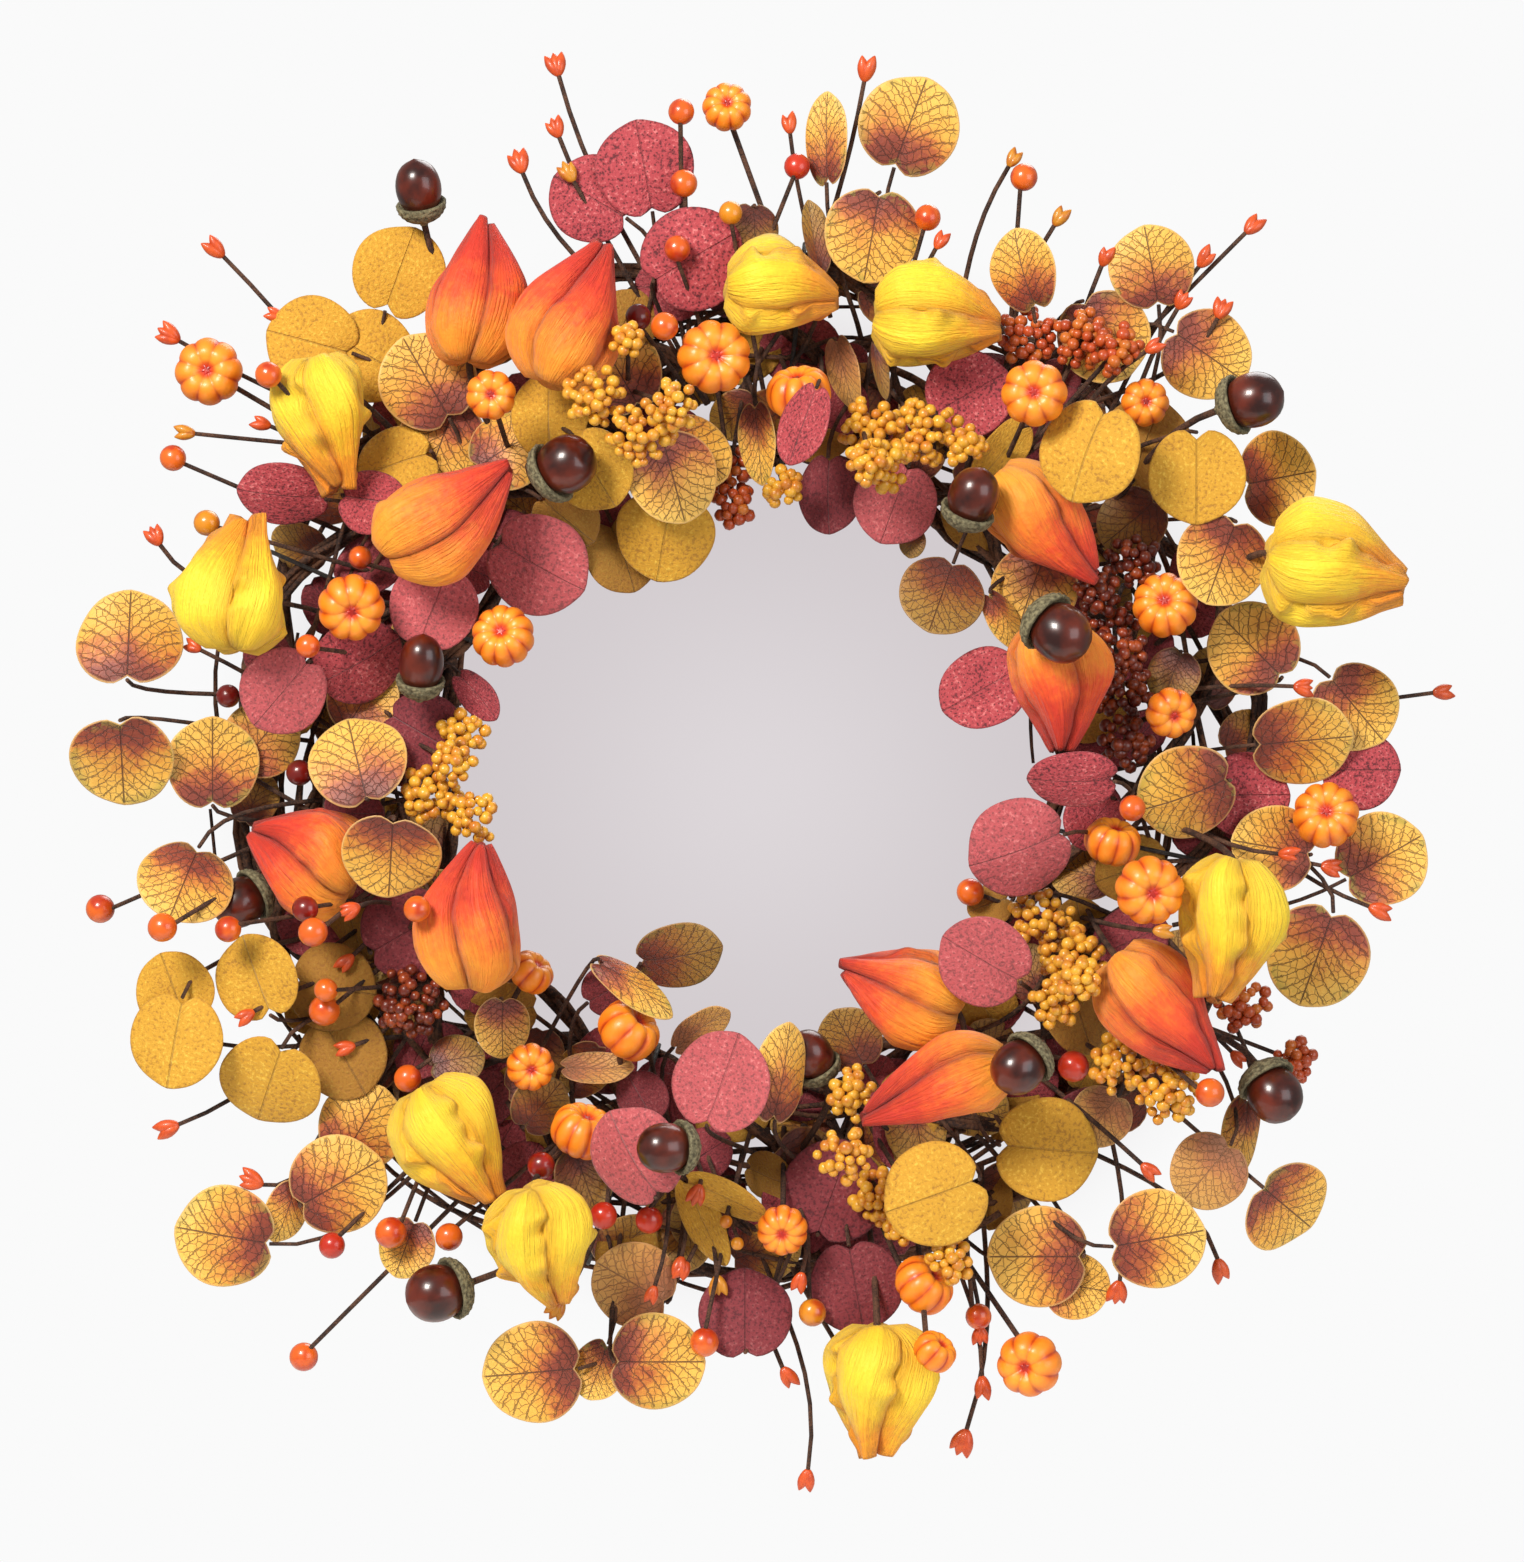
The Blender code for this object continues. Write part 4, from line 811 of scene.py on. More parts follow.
@dataclass
class Acorn:
    """An acorn: a glossy nut in a scaly cap, its tip along +Y.

    Attributes:
        diameter: Size across the nut, in metres.
        length: Size from the cap's top to the nut's tip, in metres.
    """

    diameter: float
    length: float

    def nut(self, tone: tuple[float, float, float]) -> Shell:
        """The nut, with a small point at its tip."""
        polar = np.linspace(0, np.pi, 17)[1:-1, None]
        turn = ring_steps(28)[None]
        radius = self.diameter / 2 * np.sin(polar) ** 0.8 + 0 * turn
        along = self.length * (0.06 + 0.43 * np.cos(polar)) + self.length * 0.045 * np.exp(
            -((polar / 0.16) ** 2)
        )
        rings = columns(radius * np.cos(turn), along, radius * np.sin(turn))
        uv = columns(turn / (2 * np.pi), polar / np.pi)
        poles = np.array([(0, self.length * 0.54, 0), (0, -self.length * 0.31, 0)])
        return Shell(rings, poles, uv, POLE_UV, tone)

    def cap(self, tone: tuple[float, float, float]) -> Shell:
        """The cap, with rows of scales in relief and a stub of stalk."""
        way = np.array([0.02, 0.05, 0.09, 0.14, 0.2, 0.27, 0.34, 0.41, 0.48, 0.55, 0.62, 0.7, 0.78, 0.86, 0.93, 1.0])
        way = way[:, None]
        turn = ring_steps(44)[None]
        dome = np.sqrt(np.clip(1 - (1 - way) ** 2.2, 0, 1))
        scale = np.cos(11 * turn + np.pi * np.floor(way * 9)) * 0.5 + 0.5
        relief = 1 + 0.05 * scale * np.sin(np.pi * ((way * 9) % 1)) * (way > 0.12)
        stub = np.where(way < 0.1, 0.16, 0.0)
        radius = self.diameter * 0.54 * np.maximum(dome * relief * (way >= 0.1), stub)
        along = self.length * (-0.5 + 0.32 * way) - np.where(way < 0.1, self.length * 0.05, 0)
        outer = columns(radius * np.cos(turn), along, radius * np.sin(turn))
        lip = outer[-1:] * np.array([0.9, 1.0, 0.9])
        inner = outer[-1:] * np.array([0.82, 1.0, 0.82]) - np.array([0, 0.05 * self.length, 0])
        rings = np.concatenate([outer, lip, inner])
        places = np.append(way[:, 0], [1.0, 1.0])[:, None]
        uv = columns(scale[:1], places)
        poles = np.array([(0, -self.length * 0.56, 0), (0, -self.length * 0.12, 0)])
        return Shell(rings, poles, uv, POLE_UV, tone)


# --------------------------------------------------------------------------------- repeated and run parts


def growth_tree(name: str, sockets: dict[str, tuple[str, Any]]) -> tuple[Any, Any]:
    """Starts a geometry tree with named inputs.

    Args:
        name: Name of the tree.
        sockets: Type and default of each input after the geometry, by name.

    Returns:
        The tree and its inputs' node.
    """
    tree = bpy.data.node_groups.new(name, "GeometryNodeTree")
    tree.interface.new_socket("Geometry", in_out="INPUT", socket_type="NodeSocketGeometry")
    for label, (kind, value) in sockets.items():
        socket = tree.interface.new_socket(label, in_out="INPUT", socket_type="NodeSocket" + kind)
        if value is not None:
            socket.default_value = value
    tree.interface.new_socket("Geometry", in_out="OUTPUT", socket_type="NodeSocketGeometry")
    return tree, tree.nodes.new("NodeGroupInput")


def end_tree(tree: Any, given: Any, shape: Any) -> None:
    """Makes a tree's shape real, smooth and dressed, and hands it on."""
    real = add_node(tree, "GeometryNodeRealizeInstances", shape)
    smooth = add_node(tree, "GeometryNodeSetShadeSmooth", real)
    finish = {"Material": given.outputs["Finish"]}
    dressed = add_node(tree, "GeometryNodeSetMaterial", smooth, named=finish)
    tree.links.new(dressed, tree.nodes.new("NodeGroupOutput").inputs[0])


def tube_tree() -> Any:
    """A tree that runs a round section along every chain of edges, as thick as each point says."""
    tree, given = growth_tree("wrapped_wire", {"Sides": ("Int", 6), "Finish": ("Material", None)})
    size = add_node(tree, "GeometryNodeInputNamedAttribute", "thick", data_type="FLOAT")
    line = add_node(tree, "GeometryNodeMeshToCurve", given.outputs["Geometry"])
    around = {"Resolution": given.outputs["Sides"], "Radius": 1.0}
    section = add_node(tree, "GeometryNodeCurvePrimitiveCircle", named=around)
    body = {"Curve": line, "Profile Curve": section, "Scale": size, "Fill Caps": True}
    end_tree(tree, given, add_node(tree, "GeometryNodeCurveToMesh", named=body))
    return tree


def bead_tree() -> Any:
    """A tree that puts a small ball on every point, as large as the point says."""
    inputs = {"Sides": ("Int", 8), "Rings": ("Int", 6), "Finish": ("Material", None)}
    tree, given = growth_tree("grain_beads", inputs)
    size = add_node(tree, "GeometryNodeInputNamedAttribute", "thick", data_type="FLOAT")
    spin = add_node(tree, "GeometryNodeInputNamedAttribute", "spin", data_type="FLOAT_VECTOR")
    shape = {"Segments": given.outputs["Sides"], "Rings": given.outputs["Rings"], "Radius": 0.5}
    seed = add_node(tree, "GeometryNodeMeshUVSphere", named=shape)
    beads = {"Points": given.outputs["Geometry"], "Instance": seed, "Scale": size, "Rotation": spin}
    end_tree(tree, given, add_node(tree, "GeometryNodeInstanceOnPoints", named=beads))
    return tree


def grown(source: bpy.types.Object, tree: Any, values: dict[str, Any]) -> bpy.types.Object:
    """Runs a geometry tree on an object and keeps the result as a plain mesh.

    Args:
        source: The object that feeds the tree; it is removed.
        tree: The geometry tree.
        values: Its inputs, by name.

    Returns:
        The new object, which takes the source's name.
    """
    name = source.name
    step = source.modifiers.new("grow", "NODES")
    step.node_group = tree
    for item in tree.interface.items_tree:
        if item.in_out == "INPUT" and item.name in values:
            step[item.identifier] = values[item.name]
    graph = bpy.context.evaluated_depsgraph_get()
    mesh = bpy.data.meshes.new_from_object(source.evaluated_get(graph), depsgraph=graph)
    bpy.data.objects.remove(source)
    mesh.name = name
    thing = bpy.data.objects.new(name, mesh)
    bpy.context.scene.collection.objects.link(thing)
    return thing


@dataclass
class Lines:
    """Chains of points that wires or twigs follow, or loose points that beads sit on.

    Attributes:
        points: The points, in world metres.
        edges: Pairs of neighbours in a chain.
        thick: Radius of the wire, or diameter of the bead, at each point.
        tone: Colour choices at each point.
        spin: Turn of the bead at each point, in radians.
    """

    points: list[Vector] = field(default_factory=list)
    edges: list[tuple[int, int]] = field(default_factory=list)
    thick: list[float] = field(default_factory=list)
    tone: list[tuple[float, float, float, float]] = field(default_factory=list)
    spin: list[tuple[float, float, float]] = field(default_factory=list)

    def run(self, path: Sequence[Vector], start: float, end: float, tone: float = 0.5) -> None:
        """Adds a chain whose radius goes from start to end, in metres."""
        first = len(self.points)
        for index, point in enumerate(path):
            share = index / (len(path) - 1)
            self.points.append(point)
            self.thick.append(start + (end - start) * share)
            self.tone.append((tone, 0.0, 0.0, 1.0))
            self.spin.append((0.0, 0.0, 0.0))
            if index:
                self.edges.append((first + index - 1, first + index))

    def loop(self, path: Sequence[Vector], radius: float) -> None:
        """Adds a closed chain."""
        first = len(self.points)
        self.run(path, radius, radius)
        self.edges.append((len(self.points) - 1, first))

    def dot(self, point: Vector, size: float, tone: tuple[float, float, float], spin: float) -> None:
        """Adds one bead."""
        self.points.append(point)
        self.thick.append(size)
        self.tone.append((*tone, 1.0))
        self.spin.append((spin, spin * 1.7, spin * 0.6))

    def build(self, name: str) -> bpy.types.Object:
        """Makes the object that feeds a tree."""
        mesh = bpy.data.meshes.new(name)
        mesh.from_pydata([tuple(point) for point in self.points], self.edges, [])
        mesh.attributes.new("thick", "FLOAT", "POINT").data.foreach_set("value", self.thick)
        tone = mesh.attributes.new("tone", "FLOAT_COLOR", "POINT")
        tone.data.foreach_set("color", np.array(self.tone, np.float32).ravel())
        spin = mesh.attributes.new("spin", "FLOAT_VECTOR", "POINT")
        spin.data.foreach_set("vector", np.array(self.spin, np.float32).ravel())
        thing = bpy.data.objects.new(name, mesh)
        bpy.context.scene.collection.objects.link(thing)
        return thing


def curve_through(points: Sequence[Vector], count: int) -> list[Vector]:
    """Points along the smooth curve that one control polygon makes (Bezier of its degree)."""
    path = []
    for step in range(count):
        share = step / (count - 1)
        level = [point.copy() for point in points]
        while len(level) > 1:
            level = [first.lerp(second, share) for first, second in zip(level, level[1:])]
        path.append(level[0])
    return path


# ---------------------------------------------------------------------------------------------- finishes

LEAF_MM = 36.0  # usual length of a leaf, which its pattern scales are worked out from


@dataclass(frozen=True)
class PrintedLeafCloth:
    """Satin polyester cloth, printed and heat-cut: gold tips, maroon bases and fine dark net veins.

    Attributes:
        base: Colour of the leaf where its stem joins.
        warm: Colour between the base and the gold.
        gold: Main colour of the outer half.
        tip: Colour of the tip.
        vein: Colour of the veins.
        olive: Colour of the greenish patches near the rim.
        rim: Colour of the painted highlight along the leaf's edge.
        under: Colour of the underside.
        dark: Colour of the painted shade that leaves deep in the ring lean to.
        russet: Colour between the base and the warm one.
        amber: Colour between the warm one and the gold.
        cloud_mm: Size of the patches in the dye.
        net_mm: Size of a mesh of the net of veins.
        bend_mm: Size of the bends in that net.
        wrinkles: Wrinkles across a leaf, about 1.6 mm apart.
    """

    base: str = "74301F"
    warm: str = "B4602A"
    gold: str = "E2A63E"
    tip: str = "EBBB52"
    vein: str = "431C10"
    olive: str = "8A8A34"
    rim: str = "E2B873"
    under: str = "A9744A"
    dark: str = "4A1E12"
    russet: str = "8C3C26"
    amber: str = "D08A34"
    cloud_mm: float = 11.25
    net_mm: float = 3.0
    bend_mm: float = 4.0
    wrinkles: float = 22.0

    def build(self) -> bpy.types.Material:
        """Builds the finish: the gradient, then the green, the veins, the edge and the underside."""
        make = Finish("printed_satin_leaf_cloth")
        pattern = make.add("UVMap", uv_map="pattern")
        tone, shade, age, side = make.tones()
        place = make.scattered(tone, 7.0, 31.0)
        cloud = make.add("TexNoise", place, None, LEAF_MM / self.cloud_mm, 3.0, 0.6, noise_dimensions="2D")
        fine = make.add("TexNoise", place, None, self.wrinkles, 2.0, 0.6, noise_dimensions="2D")
        split = make.add("SeparateXYZ", pattern)
        along = split.node.outputs[1]
        off = make.add("Math", make.add("Math", split, 0.5, operation="SUBTRACT"), operation="ABSOLUTE")
        reach = make.nudged(cloud, 0.5, along)
        reach = make.add(
            "Math",
            make.add("Math", make.add("Math", off, 2.0, operation="MULTIPLY"), 2.0, operation="POWER"),
            0.16,
            reach,
            operation="MULTIPLY_ADD",
        )
        reach = make.nudged(fine, 0.22, reach)
        colour = make.add(
            "ValToRGB",
            reach,
            stops=[
                (0.08, self.base),
                (0.26, self.russet),
                (0.4, self.warm),
                (0.52, self.amber),
                (0.66, self.gold),
                (0.95, self.tip),
            ],
        )
        green = make.add(
            "Math", make.add("Math", cloud, 0.56, operation="GREATER_THAN"), 0.7, operation="MULTIPLY"
        )
        middle = make.add("VectorMath", pattern, (0.5, 0.5, 0.0), out=1, operation="DISTANCE")
        border = make.add("MapRange", middle, 0.36, 0.48, interpolation_type="SMOOTHSTEP")
        olive = make.add(
            "Math", make.add("Math", border, age, operation="MULTIPLY"), green, operation="MULTIPLY"
        )
        colour = make.add("MixRGB", olive, colour, self.olive)
        midrib = make.add("MapRange", off, 0.01, 0.003, interpolation_type="SMOOTHSTEP")
        sway = make.nudged(fine, 0.05, along)
        sway = make.add("Math", off, -1.3, sway, operation="MULTIPLY_ADD")
        sway = make.add(
            "Math", make.add("Math", off, off, operation="MULTIPLY"), 1.2, sway, operation="MULTIPLY_ADD"
        )
        lateral = make.add("Math", sway, 0.07, operation="PINGPONG")
        lateral = make.add("MapRange", lateral, 0.012, 0.003, interpolation_type="SMOOTHSTEP")
        bent = make.add(
            "VectorMath",
            place,
            make.add(
                "VectorMath",
                make.add(
                    "TexNoise", place, None, LEAF_MM / self.bend_mm, 2.0, out=1, noise_dimensions="2D"
                ),
                None,
                None,
                0.05,
                operation="SCALE",
            ),
            operation="ADD",
        )
        net = make.add(
            "TexVoronoi",
            bent,
            None,
            LEAF_MM / self.net_mm,
            feature="DISTANCE_TO_EDGE",
            voronoi_dimensions="2D",
        )
        net = make.add("MapRange", net, 0.06, 0.015, interpolation_type="SMOOTHSTEP")
        strong = make.add(
            "Math", midrib, make.add("Math", lateral, 0.8, operation="MULTIPLY"), operation="MAXIMUM"
        )
        veins = make.add(
            "Math", strong, make.add("Math", net, 0.62, operation="MULTIPLY"), operation="MAXIMUM"
        )
        veins = make.add("Math", veins, make.add("MapRange", middle, 0.5, 0.46), operation="MULTIPLY")
        colour = make.tinted(veins, 0.85, colour, self.vein)
        # Painted highlight: a pale line along the edge of the leaf.
        edge = make.add("MapRange", middle, 0.476, 0.496)
        colour = make.tinted(edge, 0.75, colour, self.rim)
        # Painted shade: leaves deep in the ring lean to the dark colour.
        colour = make.tinted(make.add("Math", shade, 0.0, operation="MAXIMUM"), 0.62, colour, self.dark)
        pale = make.add(
            "Math",
            make.add("Math", shade, -0.6, operation="MULTIPLY"),
            make.add("Math", side, 0.7, operation="MULTIPLY"),
            operation="MAXIMUM",
        )
        colour = make.add("MixRGB", pale, colour, self.under)
        relief = make.add(
            "Math", fine, 0.3, make.add("Math", veins, -1.0, operation="MULTIPLY"), operation="MULTIPLY_ADD"
        )
        return make.end(colour, relief, 0.0004, Roughness=0.5, Sheen_Weight=0.1)


@dataclass(frozen=True)
class FleckedCloth:
    """Felted polyester cloth, printed with fine flecks; matt, with a mottled look close to.

    Attributes:
        name: Name of the material.
        dark: Colour of the pits.
        body: Main colour.
        light: Colour of the flecks.
        painted_shade_colour: Colour of the painted shade that dark leaves lean to.
        under: Colour of the underside.
        fleck_mm: Size of a fleck, drawn as coarse as it needs to show.
        pits: How much of the dark colour shows.
        clouds: Broad patches across a leaf, about 14 mm apart.
    """

    name: str
    dark: str
    body: str
    light: str
    painted_shade_colour: str
    under: str
    fleck_mm: float
    pits: float
    clouds: float = 2.6

    def build(self) -> bpy.types.Material:
        """Builds the finish."""
        make = Finish(self.name)
        pattern = make.add("UVMap", uv_map="pattern")
        tone, shade, _, side = make.tones()
        place = make.scattered(tone, 5.0, 23.0)
        cells = LEAF_MM / self.fleck_mm
        speck = make.add("TexNoise", place, None, cells, 3.0, 0.65, noise_dimensions="2D")
        cloud = make.add("TexNoise", place, None, self.clouds, 2.0, noise_dimensions="2D")
        mixed = make.nudged(cloud, 0.35, speck)
        colour = make.add(
            "ValToRGB",
            mixed,
            stops=[(0.3, self.dark), (0.44, self.body), (0.58, self.body), (0.76, self.light)],
        )
        crumb = make.add("TexVoronoi", place, None, cells * 0.8, voronoi_dimensions="2D")
        pit = make.add("MapRange", crumb, 0.24, 0.06)
        colour = make.tinted(pit, self.pits, colour, self.dark)
        middle = make.add("VectorMath", pattern, (0.5, 0.5, 0.0), out=1, operation="DISTANCE")
        edge = make.add("MapRange", middle, 0.47, 0.5)
        colour = make.tinted(edge, 0.45, colour, self.dark)
        split = make.add("SeparateXYZ", pattern)
        off = make.add("Math", make.add("Math", split, 0.5, operation="SUBTRACT"), operation="ABSOLUTE")
        midrib = make.add("MapRange", off, 0.012, 0.002, interpolation_type="SMOOTHSTEP")
        colour = make.tinted(midrib, 0.3, colour, self.dark)
        # Painted shade: dark leaves, deep in the ring, lean to a darker colour.
        colour = make.tinted(make.add("Math", shade, 0.0, operation="MAXIMUM"), 0.65, colour, self.painted_shade_colour)
        colour = make.tinted(
            make.add("Math", make.add("Math", shade, -1.0, operation="MULTIPLY"), 0.0, operation="MAXIMUM"),
            0.25,
            colour,
            self.light,
        )
        colour = make.tinted(side, 0.5, colour, self.under)
        relief = make.add("Math", midrib, -0.8, speck, operation="MULTIPLY_ADD")
        return make.end(colour, relief, 0.0006, Roughness=0.72, Sheen_Weight=0.15)


@dataclass(frozen=True)
class PodFoam:
    """Thin EVA foam petals, heat-formed and dip-dyed: soft and matt, with painted shade darkening the creases.

    Attributes:
        name: Name of the material.
        round_end: Colour at the round end.
        body: Colour of the petals' middles.
        shoulder: Colour towards the tip.
        tip: Colour at the tip.
        crease: Colour of the painted shade in the creases.
        crease_shade_strength: How strongly the painted shade darkens the creases.
        cloud_mm: Size of the patches in the dye.
        dot_mm: Size of the finer blots in it.
        grain_mm: Size of the foam's grain.
    """

    name: str
    round_end: str
    body: str
    shoulder: str
    tip: str
    crease: str
    crease_shade_strength: float
    cloud_mm: float = 13.3333
    dot_mm: float = 3.0303
    grain_mm: float = 1.1111

    def build(self) -> bpy.types.Material:
        """Builds the finish."""
        make = Finish(self.name)
        pattern = make.add("UVMap", uv_map="pattern")
        tone = make.tones()[0]
        world = make.add("TexCoord", out=3)
        split = make.add("SeparateXYZ", pattern)
        way = split.node.outputs[1]
        cloud = make.add("TexNoise", world, None, per_metre(self.cloud_mm), 3.0, 0.55)
        grain = make.add("TexNoise", world, None, per_metre(self.grain_mm), 2.0)
        streak_place = make.add(
            "CombineXYZ",
            make.add("Math", split, 9.0, operation="MULTIPLY"),
            make.add("Math", way, 1.4, operation="MULTIPLY"),
            make.add("Math", tone, 40.0, operation="MULTIPLY"),
        )
        streak = make.add("TexNoise", streak_place, None, 2.2, 3.0, 0.6)
        place = make.nudged(cloud, 0.55, way)
        place = make.nudged(streak, 0.35, place)
        place = make.add(
            "Math",
            place,
            make.add("Math", make.add("Math", tone, 0.5, operation="SUBTRACT"), 0.22, operation="MULTIPLY"),
            operation="ADD",
        )
        dots = make.add("TexNoise", world, None, per_metre(self.dot_mm), 2.0, 0.6)
        place = make.nudged(dots, 0.3, place)
        colour = make.add(
            "ValToRGB",
            place,
            stops=[(0.05, self.round_end), (0.34, self.body), (0.6, self.shoulder), (0.84, self.tip)],
        )
        # Painted shade: the creases darken, more so towards the tip.
        fold = make.add("MapRange", split, 0.62, 0.0, interpolation_type="SMOOTHSTEP")
        crease_shade = make.add(
            "Math", fold, make.add("Math", way, 0.7, 0.3, operation="MULTIPLY_ADD"), operation="MULTIPLY"
        )
        colour = make.tinted(crease_shade, self.crease_shade_strength, colour, self.crease)
        relief = make.add(
            "Math",
            streak,
            1.2,
            make.add("Math", grain, 0.25, operation="MULTIPLY"),
            operation="MULTIPLY_ADD",
        )
        return make.end(colour, relief, 0.0012, Roughness=0.62, Sheen_Weight=0.12)


@dataclass(frozen=True)
class PaintedPumpkinSkin:
    """Moulded PVC foam, spray-painted and varnished: orange ribs, redder grooves darkened with painted shade, and
    painted highlight on the crests and round the eye.

    Attributes:
        groove: Colour of the painted shade in the grooves.
        flank: Colour of the sides of a rib, a lighter step of the painted shade.
        body: Main colour.
        crest_highlight: Colour of the painted highlight on the crests.
        eye_ring_highlight: Colour of the painted highlight round the eye.
        stain: Colour in the eye.
        cloud_mm: Size of the patches in the paint.
    """

    groove: str = "B93A08"
    flank: str = "E0660C"
    body: str = "F07A10"
    crest_highlight: str = "F78E20"
    eye_ring_highlight: str = "FFA62E"
    stain: str = "C8330A"
    cloud_mm: float = 7.14286

    def build(self) -> bpy.types.Material:
        """Builds the finish."""
        make = Finish("varnished_pumpkin_skin")
        pattern = make.add("UVMap", uv_map="pattern")
        world = make.add("TexCoord", out=3)
        split = make.add("SeparateXYZ", pattern)
        polar = split.node.outputs[1]
        cloud = make.add("TexNoise", world, None, per_metre(self.cloud_mm), 3.0)
        # Painted shade and highlight: darker into the grooves, lighter on the crests.
        rib = make.nudged(cloud, 0.9, split)
        colour = make.add(
            "ValToRGB",
            rib,
            stops=[(0.0, self.groove), (0.3, self.flank), (0.6, self.body), (1.0, self.crest_highlight)],
        )
        # Painted highlight: a lighter ring round the eye.
        ring = make.add("MapRange", polar, 0.34, 0.12, interpolation_type="SMOOTHSTEP")
        colour = make.tinted(ring, 0.55, colour, self.eye_ring_highlight)
        eye = make.add("MapRange", polar, 0.1, 0.03, interpolation_type="SMOOTHSTEP")
        colour = make.add("MixRGB", eye, colour, self.stain)
        return make.end(colour, cloud, 0.0006, Roughness=0.42, Coat_Weight=0.18, Coat_Roughness=0.2)


@dataclass(frozen=True)
class GlossPaint:
    """Moulded plastic under one mottled coat of paint.

    Attributes:
        name: Name of the material.
        low: Colour of the darker patches.
        high: Colour of the lighter patches.
        grain_mm: Size of a patch, drawn as coarse as it needs to show.
        roughness: Roughness of the surface.
        coat: Weight of the varnish.
        end: Colour at the far pole.
        end_place: Where the far pole's colour starts.
        relief: Depth of the relief, in metres.
    """

    name: str
    low: str
    high: str
    grain_mm: float
    roughness: float
    coat: float
    end: str
    end_place: float
    relief: float

    def build(self) -> bpy.types.Material:
        """Builds the finish."""
        make = Finish(self.name)
        pattern = make.add("UVMap", uv_map="pattern")
        world = make.add("TexCoord", out=3)
        cloud = make.add("TexNoise", world, None, per_metre(self.grain_mm), 3.0)
        colour = make.add("ValToRGB", cloud, stops=[(0.36, self.low), (0.64, self.high)])
        split = make.add("SeparateXYZ", pattern)
        polar = split.node.outputs[1]
        far = make.add(
            "MapRange", polar, self.end_place, self.end_place + 0.25, interpolation_type="SMOOTHSTEP"
        )
        colour = make.add("MixRGB", far, colour, self.end)
        return make.end(colour, cloud, self.relief, Roughness=self.roughness, Coat_Weight=self.coat)


@dataclass(frozen=True)
class TonedPaint:
    """Painted foam balls in several dye colours, chosen piece by piece.

    Attributes:
        name: Name of the material.
        stops: The dye colours, along the tone's extra value.
        blush: Colour of the blush.
        blush_amount: Strength of the blush.
        grain_mm: Size of a patch of the blush.
        roughness: Roughness of the surface.
        coat: Weight of the varnish.
        spread: How far pieces of one colour differ.
    """

    name: str
    stops: tuple[tuple[float, str], ...]
    blush: str
    blush_amount: float
    grain_mm: float
    roughness: float
    coat: float
    spread: float

    def build(self) -> bpy.types.Material:
        """Builds the finish."""
        make = Finish(self.name)
        tone, _, dye, _ = make.tones()
        world = make.add("TexCoord", out=3)
        cloud = make.add("TexNoise", world, None, per_metre(self.grain_mm), 2.0)
        choice = make.nudged(tone, self.spread, dye)
        colour = make.add("ValToRGB", choice, stops=self.stops)
        patch = make.add("MapRange", cloud, 0.45, 0.68, interpolation_type="SMOOTHSTEP")
        colour = make.tinted(patch, self.blush_amount, colour, self.blush)
        return make.end(colour, cloud, 0.0003, Roughness=self.roughness, Coat_Weight=self.coat)


@dataclass(frozen=True)
class Bark:
    """Twigs, paper-taped wire and bare wire: dark brown and rough, with paler worn marks.

    Attributes:
        name: Name of the material.
        dark: Colour of the hollows.
        light: Colour of the worn parts.
        grain_mm: Size of a mark, drawn as coarse as it needs to show.
        roughness: Roughness of the surface.
    """

    name: str
    dark: str
    light: str
    grain_mm: float
    roughness: float

    def build(self) -> bpy.types.Material:
        """Builds the finish."""
        make = Finish(self.name)
        world = make.add("TexCoord", out=3)
        cloud = make.add("TexNoise", world, None, per_metre(self.grain_mm), 4.0, 0.65)
        broad = make.add("TexNoise", world, None, per_metre(9 * self.grain_mm), 2.0)
        mixed = make.nudged(broad, 0.8, cloud)
        colour = make.add("ValToRGB", mixed, stops=[(0.38, self.dark), (0.66, self.light)])
        return make.end(colour, cloud, 0.0008, Roughness=self.roughness)


# ----------------------------------------------------------------------------------------- sub-assemblies


@dataclass
class Placed:
    """Where a piece has settled.

    Attributes:
        back: A point at its stem end, in world metres.
        clock: Its clock, in degrees.
        reach: Its distance from the middle of the ring, in millimetres.
        heading: The clock direction of its tip, or None for a round piece.
        weight: Thickness of its stem, in metres.
    """

    back: Vector
    clock: float
    reach: float
    heading: float | None
    weight: float


class PodKind(Enum):
    """The two colours of lantern pod."""

    ORANGE = "orange_pod"
    YELLOW = "yellow_pod"


